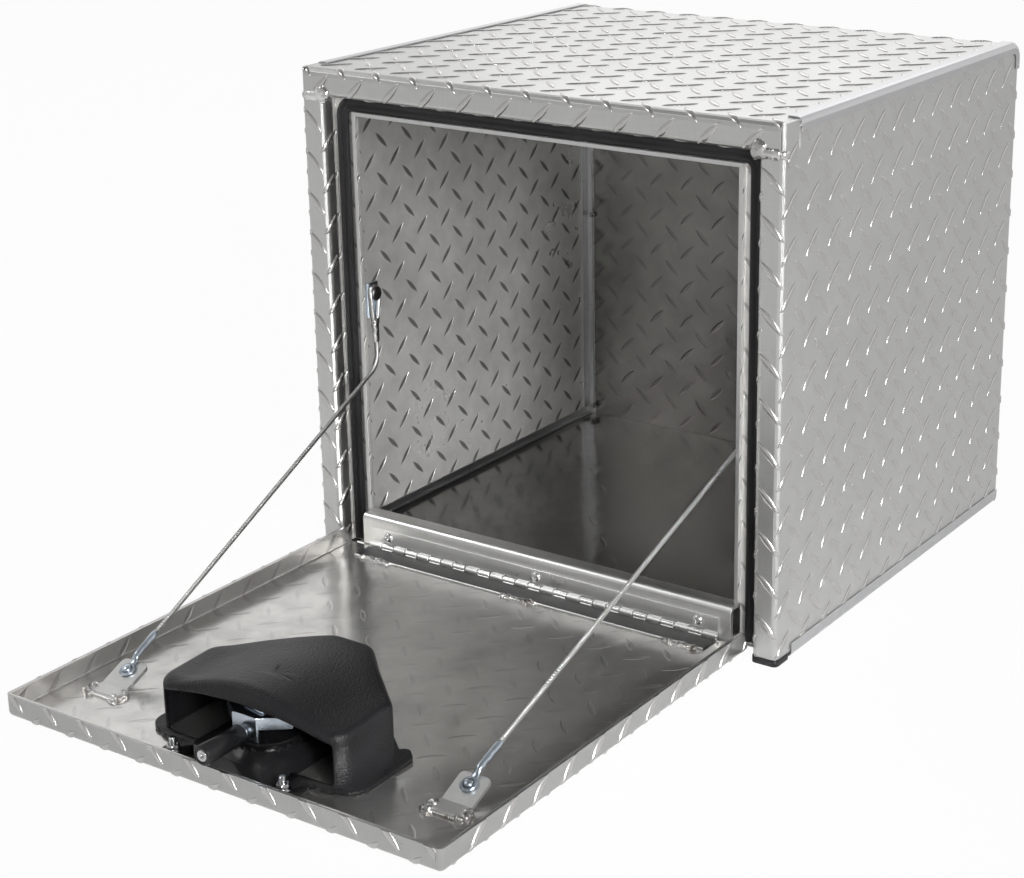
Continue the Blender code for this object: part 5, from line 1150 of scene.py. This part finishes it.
def roof_space(point, across):
    """From a fold across the box to space."""
    return Vector((across, point.x, point.y))


def door_space(point, across):
    """From a fold along the door to space."""
    return Vector((point.x, across, point.y))


class TOOLBOX_OT_door_tread(bpy.types.Operator):
    """Raise the tread bars of the door's outer face and flanges"""
    bl_idname = "toolbox.door_tread"
    bl_label = "Door tread"

    def execute(self, context):
        tread = context.scene.toolbox_tread
        pitch = tread.pitch
        wide = [
            (-DOOR_HALF_WIDTH, DOOR_RIM), (-DOOR_HALF_WIDTH, DOOR_FACE), (DOOR_HALF_WIDTH, DOOR_FACE),
            (DOOR_HALF_WIDTH, DOOR_RIM)]
        across = FoldedFace(wide, [0, DOOR_FOLD_OUTER, DOOR_FOLD_OUTER, 0], -1)
        deep = [(DOOR_FREE, DOOR_RIM), (DOOR_FREE, DOOR_FACE), (DOOR_HEEL, DOOR_FACE)]
        along = FoldedFace(deep, [0, DOOR_FOLD_OUTER, 0], -1)
        free_band = DOOR_FREE + DOOR_FOLD_OUTER
        plate_low, plate_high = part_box("latch_gasket")
        reach = tread.length * BAR_REACH
        middle = across.length / 2
        main, front = [], []
        front_run = along.run_of(1)[1]
        bars = lattice(middle, DOOR_BAR_Y, (0, across.length), (DOOR_FREE, DOOR_HEEL), pitch, pitch, 1)
        for (run, y), tilt in bars:
            x = run - middle
            near_plate = plate_low.x - reach < x < plate_high.x + reach
            if near_plate and plate_low.y - reach < y < plate_high.y + reach:
                continue
            if y - reach > free_band:
                main.append(((run, y), tilt))
        limit = DOOR_HALF_WIDTH - DOOR_FOLD_OUTER
        bars = lattice(
            front_run + DOOR_BAR_Y - free_band, 0, (0, front_run + pitch), (-limit, limit), pitch, pitch, -1)
        for (run, x), tilt in bars:
            y = free_band + run - front_run
            if y - reach <= free_band:
                front.append(((run, x), tilt))
        heel = DOOR_HEEL - SHEET
        areas = [
            (across, main, spans_to_limits((0, across.length), (free_band, heel)), door_space),
            (along, front, spans_to_limits((0, along.length), (-limit, limit)), roof_space),
        ]
        tread_bars(areas, "tread_door", "door", tread)
        return {"FINISHED"}


def rope_frames(path, step):
    """Evenly spaced places along a path, each with two directions across it that don't twist."""
    points = [Vector(p) for p in path]
    places = [points[0]]
    carry = 0.0
    for start, end in zip(points, points[1:]):
        length = (end - start).length
        at = step - carry
        while at < length:
            places.append(start.lerp(end, at / length))
            at += step
        carry = length - (at - step)
    places.append(points[-1])
    frames = []
    side = None
    for i, place in enumerate(places):
        along = (places[min(i + 1, len(places) - 1)] - places[max(i - 1, 0)]).normalized()
        if side is None:
            side = along.orthogonal().normalized()
        side = (side - along * side.dot(along)).normalized()
        frames.append((place, side, along.cross(side)))
    return frames


def rope_rings(path, rope):
    """Cross sections of a twisted rope: a ring of round strands that turns along the path."""
    count = rope.strands
    strand = rope.radius / (1 + 1 / math.sin(math.pi / count))
    orbit = rope.radius - strand
    section = []
    for i in range(count):
        middle = 2 * math.pi * i / count
        for k in range(STRAND_STEPS):
            turn = middle + (k / (STRAND_STEPS - 1) - 0.5) * math.pi * STRAND_SHARE
            section.append((
                orbit * math.cos(middle) + strand * math.cos(turn),
                orbit * math.sin(middle) + strand * math.sin(turn)))
    rings = []
    for i, (place, side, up) in enumerate(rope_frames(path, ROPE_STEP)):
        turn = 2 * math.pi * i * ROPE_STEP / rope.lay
        c, s = math.cos(turn), math.sin(turn)
        rings.append([place + side * (x * c - y * s) + up * (x * s + y * c) for x, y in section])
    return rings


class TOOLBOX_OT_ropes(bpy.types.Operator):
    """Lay the twisted wire ropes with their loops, pressed sleeves and door eyes"""
    bl_idname = "toolbox.ropes"
    bl_label = "Wire ropes"

    def execute(self, context):
        rope = context.scene.toolbox_rope
        for side, name in SIDES:
            self.make_rope(side, name, rope)
            self.make_loop(side, name, rope)
            self.make_eye(side, name)
        return {"FINISHED"}

    def ends(self, side):
        """The rope's door end, its turn at the jamb, the way along it and two ways across."""
        low = Vector((side * ROPE_DOOR_END.x, ROPE_DOOR_END.y, ROPE_DOOR_END.z))
        turn = Vector((side * ROPE_TURN.x, ROPE_TURN.y, ROPE_TURN.z))
        along = (turn - low).normalized()
        slope = math.atan2(turn.z - low.z, turn.y - low.y)
        up = Vector((0, -math.sin(slope), math.cos(slope)))
        return low, turn, along, up, along.cross(up)

    def make_rope(self, side, name, rope):
        """The rope from its sleeve down round the turn to its ferrule."""
        low, turn, along, _, _ = self.ends(side)
        top = turn.copy()
        top.z = LOOP_PIN_HEIGHT - LOOP_LENGTH - SLEEVE_LENGTH + 4.0 * MM
        start = turn + Vector((0, 0, TURN_LENGTH))
        end = turn - along * TURN_LENGTH
        path = [top]
        for k in range(9):
            t = k / 8
            path.append(start * (1 - t) ** 2 + turn * 2 * t * (1 - t) + end * t ** 2)
        path.append(low + along * (FERRULE_END - 3.0 * MM))
        bm = bmesh.new()
        skin(bm, rope_rings(path, rope))
        piece = make_piece(bm, f"wire_rope_{name}", "rope", None, 60.0)
        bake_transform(piece)
        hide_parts(f"cable_{name}")

    def make_loop(self, side, name, rope):
        """The loop round the anchor's pin, with its sleeve."""
        centre = Vector((side * ROPE_TURN.x, ROPE_TURN.y, LOOP_PIN_HEIGHT))
        throat, foot = rope.radius * 1.2, -LOOP_LENGTH - 2.0 * MM
        shoulder, waist = LOOP_RADIUS * 0.75, -LOOP_LENGTH * 0.55
        path = [Vector((0, -throat, foot)), Vector((0, -shoulder, waist))]
        for k in range(13):
            turn = math.pi - math.pi * k / 12
            path.append(Vector((0, LOOP_RADIUS * math.cos(turn), LOOP_RADIUS * math.sin(turn))))
        path += [Vector((0, shoulder, waist)), Vector((0, throat, foot))]
        bm = bmesh.new()
        skin(bm, rope_rings([centre + p for p in path], rope))
        top = centre.z - LOOP_LENGTH + 3.0 * MM
        self.add_sleeve(bm, Vector((centre.x, centre.y, top)))
        piece = make_piece(bm, f"rope_loop_{name}", "rope", "box", 60.0)
        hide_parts(f"cable_loop_{name}")

    def add_sleeve(self, bm, start):
        """An oval sleeve with three pressed waists, hanging from its start."""
        rings = []
        count = 42
        for k in range(count + 1):
            share = k / count
            waist = 0.5 - 0.5 * math.cos(share * 6 * math.pi)
            end = min(1.0, min(share, 1 - share) * 14 + 0.72)
            thin, wide = SLEEVE_THIN * (0.88 + 0.12 * waist) * end, SLEEVE_WIDE * (1.03 - 0.10 * waist) * end
            level = start.z - share * SLEEVE_LENGTH
            rings.append([Vector((start.x + thin * c, start.y - wide * s, level)) for c, s in around(24)])
        skin(bm, rings)

    def make_eye(self, side, name):
        """The flat eye and the pressed ferrule at the rope's door end."""
        low, _, along, up, across = self.ends(side)
        matrix = Matrix((across, along, up)).transposed().to_4x4()
        matrix.translation = low
        bm = bmesh.new()
        inner, eased = EYE_RADIUS - EYE_EDGE, EYE_HALF - EYE_EDGE
        section = (
            (EYE_HOLE, -EYE_HALF), (EYE_HOLE, EYE_HALF), (inner, EYE_HALF), (EYE_RADIUS, eased),
            (EYE_RADIUS, -eased), (inner, -EYE_HALF))
        rings = [[matrix @ Vector((x * c, x * s, EYE_LEVEL + z)) for x, z in section] for c, s in around(48)]
        skin(bm, rings, closed=True)
        skin(bm, [
            [matrix @ (Vector((wide * c, run, level + deep * s)) * MM) for c, s in around(24)]
            for run, wide, deep, level in FERRULE_STATIONS])
        piece = make_piece(bm, f"rope_eye_{name}", "zinc", "door", 40.0)
        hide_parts(f"door_eye_{name}")


def weld_bead(bm, path, radius, seed, flat=0.6, ripple=1.9 * MM, outward=(0, 0, 1)):
    """A bead of overlapping rounds along a path, lumpy and a little uneven, flattened towards the plate."""
    rng = random.Random(seed)
    frames = rope_frames(path, BEAD_STEP)
    total = len(frames) - 1
    rings = []
    wobble = [rng.uniform(-1, 1) for _ in range(total + 2)]
    for i, (place, left, right) in enumerate(frames):
        along = left.cross(right)
        up = Vector(outward)
        up = (up - along * up.dot(along)).normalized()
        side = up.cross(along)
        phase = (i * BEAD_STEP / ripple) % 1.0
        coin = math.sqrt(max(0.0, 1 - (phase - 0.35) ** 2 * 1.6))
        end = math.sqrt(max(0.02, 1 - (abs(2 * i / max(total, 1) - 1)) ** 8))
        size = radius * (0.74 + 0.26 * coin) * end * (1 + 0.07 * wobble[i // 3])
        ring = []
        for k, (c, s) in enumerate(around(14)):
            bump = 1 + 0.06 * noise.noise(place * 900 + Vector((k, seed, 0)))
            ring.append(place + side * (size * c * bump) + up * (size * flat * s * bump))
        rings.append(ring)
    skin(bm, rings)


def weld_lump(bm, centre, radii, seed, rough=0.16):
    """A rounded lump of weld metal, pushed in and out by noise."""
    made = bmesh.ops.create_icosphere(bm, subdivisions=4, radius=1.0)
    centre = Vector(centre)
    for vert in made["verts"]:
        way = vert.co.copy()
        coarse = noise.noise(way * 1.7 + Vector((seed, 0, 0)))
        fine = noise.noise(way * 5.0 + Vector((0, seed, 0)))
        push = 1 + rough * coarse + rough * 0.45 * fine
        vert.co = centre + Vector((way.x * radii[0], way.y * radii[1], way.z * radii[2])) * push


def weld_cluster(bm, start, end, count, radii, seed):
    """Lumps in an uneven row, the way short stitch welds freeze."""
    rng = random.Random(seed)
    start, end = Vector(start), Vector(end)
    for i in range(count):
        share = i / max(count - 1, 1)
        size = rng.uniform(0.75, 1.2)
        place = start.lerp(end, share) + Vector([rng.uniform(-0.25, 0.25) * r for r in radii])
        weld_lump(bm, place, [r * size for r in radii], seed * 7 + i, 0.3)


class TOOLBOX_OT_welds(bpy.types.Operator):
    """Lay the weld beads of the header, the rear corners, the door's brackets and the hinge"""
    bl_idname = "toolbox.welds"
    bl_label = "Weld beads"

    def execute(self, context):
        for side, name in SIDES:
            self.header_weld(side, name)
            self.top_weld(side, name)
            self.floor_weld(side, name)
            self.bracket_weld(side, name)
        self.hinge_welds()
        return {"FINISHED"}

    def header_weld(self, side, name):
        """A fat polished bead between header and jamb, with a ball at its inner end and a corner lap."""
        bm = bmesh.new()
        seam = HEADER_BOTTOM - 0.4 * MM
        face = FRONT + 0.6 * MM
        path = [(side * (JAMB_X + 3 * MM), face, seam + 0.5 * MM), (side * (FACE_X - 3.5 * MM), face, seam)]
        weld_bead(bm, path, HEADER_BEAD, 11 + side, 0.56, HEADER_RIPPLE, (0, -1, 0))
        edge = [
            (side * (FACE_X - 4.0 * MM), face, seam), (side * (FACE_X - 1.4 * MM), FRONT + 2.0 * MM, seam),
            (side * (FACE_X - 0.6 * MM), FRONT + 7.0 * MM, seam + 0.6 * MM)]
        weld_bead(bm, edge, CORNER_LAP, 21 + side, 0.5, CORNER_RIPPLE, (side, -0.4, 0))
        weld_lump(bm, (side * (JAMB_X - 0.2 * MM), face, seam + 2.6 * MM), HEADER_BALL, 3.1 * side)
        make_piece(bm, f"header_weld_{name}", "weld", "box", 60.0)

    def top_weld(self, side, name):
        """Weld ground smooth where the corner extrusion meets the header."""
        bm = bmesh.new()
        start = EXTRUSION_START
        lump = (side * (HALF_WIDTH - 8.6 * MM), start - 1.0 * MM, BOX_HEIGHT - 9.4 * MM)
        weld_lump(bm, lump, TOP_LUMP, 5.3 * side, 0.10)
        path = [
            (side * (HALF_WIDTH - 12.5 * MM), start - 0.5 * MM, BOX_HEIGHT - 1.6 * MM),
            (side * (HALF_WIDTH - 5.0 * MM), start - 0.9 * MM, BOX_HEIGHT - 2.6 * MM),
            (side * (HALF_WIDTH - 2.2 * MM), start - 0.9 * MM, BOX_HEIGHT - 6.5 * MM),
            (side * (HALF_WIDTH - 1.8 * MM), start - 0.5 * MM, BOX_HEIGHT - 23.0 * MM)]
        weld_bead(bm, path, TOP_BEAD, 61 + side, 0.5, TOP_RIPPLE, (side, 0, 1))
        make_piece(bm, f"top_weld_{name}", "weld", "box", 60.0)

    def floor_weld(self, side, name):
        """Small tacks at the rear ends of the floor's corners."""
        bm = bmesh.new()
        rear = FACE_REAR - SHEET - 2.0 * MM
        for index, level in enumerate(TACK_LEVELS):
            start, end = (side * 216.5 * MM, rear - 3.0 * MM, level), (side * 216.0 * MM, rear, level)
            weld_cluster(bm, start, end, 3, TACK_LUMP, 71 + index)
        make_piece(bm, f"corner_tacks_{name}", "scorched_weld", "box", 60.0)

    def bracket_weld(self, side, name):
        """Stitches at both sides of a door bracket's foot, and a bead in front of it."""
        low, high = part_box(f"door_bracket_{name}")
        level = DOOR_SKIN + 0.9 * MM
        bm = bmesh.new()
        front = low.y
        for index, x in enumerate((low.x - MM, high.x + MM)):
            start, end = (x, front + 9.0 * MM, level), (x, front - 1.5 * MM, level)
            weld_cluster(bm, start, end, 7, BRACKET_LUMP, 31 + side + 5 * index)
        path = [(low.x, front - 0.6 * MM, level), (high.x, front - 0.6 * MM, level)]
        weld_bead(bm, path, BRACKET_BEAD, 37 + side)
        make_piece(bm, f"bracket_weld_{name}", "scorched_weld", "door", 60.0)

    def hinge_welds(self):
        """Three stitches along the front of the hinge's door leaf."""
        level = DOOR_SKIN + 0.7 * MM
        edge = LEAF_LOW.y - 0.4 * MM
        half = LEAF_HIGH.x
        bm = bmesh.new()
        stitches = ((-half * 0.94, 25 * MM), (-16 * MM, 30 * MM), (half * 0.80, 27 * MM))
        for index, (start, length) in enumerate(stitches):
            weld_cluster(bm, (start, edge, level), (start + length, edge, level), 9, HINGE_LUMP, 41 + index)
        make_piece(bm, "hinge_weld", "scorched_weld", "door", 60.0)


def recessed_head(bm, matrix, radius, height):
    """A round screw head with a six-lobed driver recess, along the matrix's own Z."""
    sides = 48
    rings = []
    for share, level, lobed in HEAD_ROWS:
        ring = []
        for i in range(sides):
            turn = 2 * math.pi * i / sides
            wave = 1 + 0.16 * lobed * math.cos(6 * turn)
            ring.append(matrix @ polar(radius * share * wave, turn, height * level))
        rings.append(ring)
    skin(bm, rings)


def threaded_rod(bm, matrix, radius, length, pitch=1.0 * MM):
    """A threaded rod with a rounded end, along the matrix's own Z."""
    sides, steps = 20, 4
    depth = pitch * 0.45
    rings = []
    for k in range(int(length / pitch * steps) + 1):
        ring = []
        for i in range(sides):
            turn = 2 * math.pi * i / sides
            level = min(max((k / steps + i / sides - 1) * pitch, 0.0), length)
            reach = radius - depth * (0.0, 0.5, 1.0, 0.5)[k % steps]
            end = min(1.0, 0.72 + (length - level) / (1.5 * pitch) * 0.28)
            ring.append(matrix @ polar(reach * end, turn, level))
        rings.append(ring)
    skin(bm, rings)


def hex_nut(bm, matrix, flats, height, bore, flange=0.0):
    """A chamfered hexagon nut with its bore, and a washer face where it has one."""
    sides = 36
    corner = flats / 2 / math.cos(math.pi / 6)

    def hexagon(level, cap):
        ring = []
        for i in range(sides):
            turn = 2 * math.pi * i / sides
            part = (turn % (math.pi / 3)) - math.pi / 6
            ring.append(matrix @ polar(min(flats / 2 / math.cos(part), cap), turn, level))
        return ring

    def circle(level, radius):
        return circle_ring(matrix, radius, level, sides)

    rings = [circle(0.0, bore)]
    if flange:
        rings += [circle(0.0, flange), circle(height * 0.16, flange), circle(height * 0.26, flange * 0.93)]
    low = height * (0.3 if flange else 0.0)
    rings += [
        hexagon(low, flats / 2 * 1.03), hexagon(low + height * 0.08, corner), hexagon(height * 0.88, corner),
        hexagon(height, flats / 2 * 1.02), circle(height, bore + 0.4 * MM), circle(height * 0.94, bore)]
    skin(bm, rings, closed=True)


def place_of(node):
    """A node's middle in plan, at its foot, with its corners."""
    low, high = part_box(node)
    return Matrix.Translation(((low.x + high.x) / 2, (low.y + high.y) / 2, low.z)), low, high


def smooth_copy(node, body, finish, angle):
    """A node's own shape with its facets blended into round faces."""
    bm = bmesh.new()
    bm.from_mesh(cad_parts[node].data)
    bmesh.ops.remove_doubles(bm, verts=bm.verts, dist=COVER_MERGE if node == "latch_cover" else SMOOTH_MERGE)
    piece = make_piece(bm, f"{node}_finished", finish, body, angle)
    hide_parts(node)


class TOOLBOX_OT_fasteners(bpy.types.Operator):
    """Turn the sill's screws and the cover's studs and nuts"""
    bl_idname = "toolbox.fasteners"
    bl_label = "Fasteners"

    def execute(self, context):
        for place in ("left", "middle", "right"):
            node = f"sill_screw_{place}"
            low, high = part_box(node)
            centre = (low + high) / 2
            forward = Matrix.Translation((centre.x, low.y + SCREW_HEAD, centre.z)) @ Matrix.Rotation(
                math.pi / 2, 4, "X")
            bm = bmesh.new()
            recessed_head(bm, forward, (high.x - low.x) / 2, SCREW_HEAD)
            turned(bm, SCREW_SHANK, forward, 20)
            piece = make_piece(bm, f"pan_screw_{place}", "screw", "box")
            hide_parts(node)
        for place in ("left", "right"):
            foot, low, high = place_of(f"cover_stud_{place}")
            bm = bmesh.new()
            threaded_rod(bm, foot, (high.x - low.x) / 2, high.z - low.z)
            piece = make_piece(bm, f"threaded_stud_{place}", "steel", "door", 60.0)
            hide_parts(f"cover_stud_{place}")
            low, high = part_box(f"cover_nut_{place}")
            foot.translation.z = low.z
            bm = bmesh.new()
            hex_nut(bm, foot, COVER_NUT_FLATS, high.z - low.z, COVER_NUT_BORE, COVER_NUT_FLANGE)
            piece = make_piece(bm, f"flange_nut_{place}", "steel", "door", 30.0)
            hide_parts(f"cover_nut_{place}")
        return {"FINISHED"}


class TOOLBOX_OT_latch(bpy.types.Operator):
    """Press the latch arm with its folded lips and smooth the latch's moulded, cast and turned pieces"""
    bl_idname = "toolbox.latch"
    bl_label = "Latch"

    def execute(self, context):
        self.make_arm()
        for node, body, finish, slot, angle in LATCH_PIECES:
            smooth_copy(node, body, finish, angle)
        foot, low, high = place_of("arm_nut")
        bm = bmesh.new()
        hex_nut(bm, foot, ARM_NUT_FLATS, high.z - low.z, ARM_NUT_BORE)
        piece = make_piece(bm, "arm_nut_finished", "zinc", "latch", 30.0)
        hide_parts("arm_nut")
        return {"FINISHED"}

    def make_arm(self):
        """One pressed plate: an outline whose edges fold down by their own drops, with a rivet in each wing."""
        low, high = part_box("latch_arm")
        top = high.z
        centre = (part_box("arm_nut")[0].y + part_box("arm_nut")[1].y) / 2
        tab = top - low.z
        half = [
            (11.0, -22.6, tab), (11.5, -22.0, tab), (11.9, -21.4, ARM_LIP), (21.0, -14.6, ARM_LIP),
            (30.6, -7.0, ARM_LIP), (31.2, -6.2, ARM_SHEET), (31.0, -2.0, ARM_SHEET), (27.5, 3.5, ARM_SHEET),
            (20.0, 8.5, ARM_SHEET), (15.0, 13.0, ARM_SHEET), (8.5, 16.6, ARM_SHEET)]
        outline = half + [(0.0, 18.0, ARM_SHEET)] + [(-x, y, drop) for x, y, drop in reversed(half)]
        bm = bmesh.new()
        rings = []
        for inset, depth in ARM_RINGS:
            ring = []
            for x, y, drop in outline:
                edge = Vector((x * MM, y * MM))
                point = edge - edge.normalized() * (inset * MM)
                ring.append(Vector((point.x, centre + point.y, top - (drop if depth is None else depth * MM))))
            rings.append(ring)
        skin(bm, rings)
        for x in (24.5, -24.5):
            turned(bm, ARM_RIVET, Matrix.Translation((x * MM, centre - 4.5 * MM, top)), 24)
        piece = make_piece(bm, "pressed_arm", "zinc", "latch", 40.0)
        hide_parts("latch_arm")


def slab(bm, low, high, chamfer):
    """A block between two corners with chamfered edges."""
    low, high = Vector(low), Vector(high)
    turn = Matrix.Translation((low + high) / 2) @ Matrix.Diagonal((*(high - low), 1.0))
    made = bmesh.ops.create_cube(bm, size=1.0, matrix=turn)
    edges = list({edge for vert in made["verts"] for edge in vert.link_edges})
    bmesh.ops.bevel(bm, geom=edges, offset=chamfer, segments=1, affect="EDGES")


class TOOLBOX_OT_hinge(bpy.types.Operator):
    """Roll the piano hinge's knuckles and cut its two leaves"""
    bl_idname = "toolbox.hinge"
    bl_label = "Piano hinge"

    def execute(self, context):
        low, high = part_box("hinge_box_leaf")
        radius = (LEAF_HIGH.z - low.z) / 2
        pin_low, pin_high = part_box("hinge_pin")
        pin = (pin_low + pin_high) / 2
        pitch = (high.x - low.x) / KNUCKLES
        clear = radius + KNUCKLE_CLEAR
        box_leaf, door_leaf = bmesh.new(), bmesh.new()
        slab(box_leaf, (low.x, high.y - LEAF_SHEET, pin.z + clear), high, LEAF_CHAMFER)
        sheet_top = LEAF_LOW.z + LEAF_SHEET
        slab(door_leaf, LEAF_LOW, (high.x, pin.y - clear, sheet_top), LEAF_CHAMFER)
        for k in range(KNUCKLES):
            start = low.x + pitch * k + KNUCKLE_JOINT / 2
            end = low.x + pitch * (k + 1) - KNUCKLE_JOINT / 2
            if k % 2:
                leaf = door_leaf
                corners = (start, pin.y - clear - MM, LEAF_LOW.z), (end, pin.y, sheet_top)
            else:
                leaf = box_leaf
                corners = (start, high.y - LEAF_SHEET, pin.z), (end, high.y, pin.z + clear + MM)
            slab(leaf, *corners, LEAF_CHAMFER)
            self.barrel(leaf, pin, radius, start, end)
        piece = make_piece(box_leaf, "rolled_box_leaf", "barrel", "box", 30.0)
        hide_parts("hinge_box_leaf")
        # The door leaf's finish paints it near-black as painted shade
        piece = make_piece(door_leaf, "rolled_door_leaf", "leaf", "door", 30.0)
        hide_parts("hinge_door_leaf")
        return {"FINISHED"}

    @staticmethod
    def barrel(bm, pin, radius, start, end):
        """One knuckle: a rolled tube round the pin with eased ends."""
        bore, length = radius - LEAF_SHEET, end - start
        profile = (
            (bore, 0.0), (radius - LEAF_CHAMFER, 0.0), (radius, LEAF_CHAMFER), (radius, length - LEAF_CHAMFER),
            (radius - LEAF_CHAMFER, length), (bore, length))
        turn = Matrix.Translation((start, pin.y, pin.z)) @ Matrix.Rotation(math.pi / 2, 4, "Y")
        skin(bm, [circle_ring(turn, reach, along, 32) for reach, along in profile], closed=True)


class TOOLBOX_OT_small_pieces(bpy.types.Operator):
    """Smooth the hinge's pin, the seal, the feet and the ropes' fittings"""
    bl_idname = "toolbox.small_pieces"
    bl_label = "Pin, seal and fittings"

    def execute(self, context):
        for node, body, finish, slot, angle in SMALL_PIECES:
            smooth_copy(node, body, finish, angle)
        return {"FINISHED"}


class TOOLBOX_PT_panel(bpy.types.Panel):
    """Steps that dress the tool box"""
    bl_idname = "TOOLBOX_PT_panel"
    bl_label = "Tool box"
    bl_space_type = "VIEW_3D"
    bl_region_type = "UI"
    bl_category = "Tool box"

    def draw(self, context):
        layout = self.layout
        for operator in OPERATORS:
            layout.operator(operator.bl_idname)
        scene = context.scene
        for group in (scene.toolbox_tread, scene.toolbox_finish, scene.toolbox_rope, scene.toolbox_stage):
            box = layout.box()
            for name in group.bl_rna.properties.keys():
                if name not in ("rna_type", "name"):
                    box.prop(group, name)


OPERATORS = (
    TOOLBOX_OT_stage, TOOLBOX_OT_finishes, TOOLBOX_OT_ropes, TOOLBOX_OT_box_tread, TOOLBOX_OT_door_tread,
    TOOLBOX_OT_welds, TOOLBOX_OT_fasteners, TOOLBOX_OT_latch, TOOLBOX_OT_hinge, TOOLBOX_OT_small_pieces)
SETTINGS = {
    "toolbox_tread": ToolboxTread,
    "toolbox_finish": ToolboxFinish,
    "toolbox_rope": ToolboxRope,
    "toolbox_stage": ToolboxStage,
}


def register():
    for group in SETTINGS.values():
        bpy.utils.register_class(group)
    for name, group in SETTINGS.items():
        setattr(bpy.types.Scene, name, bpy.props.PointerProperty(type=group))
    for operator in OPERATORS:
        bpy.utils.register_class(operator)
    bpy.utils.register_class(TOOLBOX_PT_panel)


def unregister():
    bpy.utils.unregister_class(TOOLBOX_PT_panel)
    for operator in reversed(OPERATORS):
        bpy.utils.unregister_class(operator)
    for name in SETTINGS:
        delattr(bpy.types.Scene, name)
    for group in reversed(SETTINGS.values()):
        bpy.utils.unregister_class(group)


def main():
    register()
    bpy.ops.toolbox.stage()
    bpy.ops.toolbox.finishes()
    bpy.ops.toolbox.ropes()
    bpy.ops.toolbox.box_tread()
    bpy.ops.toolbox.door_tread()
    bpy.ops.toolbox.welds()
    bpy.ops.toolbox.fasteners()
    bpy.ops.toolbox.latch()
    bpy.ops.toolbox.hinge()
    bpy.ops.toolbox.small_pieces()
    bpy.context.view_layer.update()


if __name__ == "__main__":
    main()
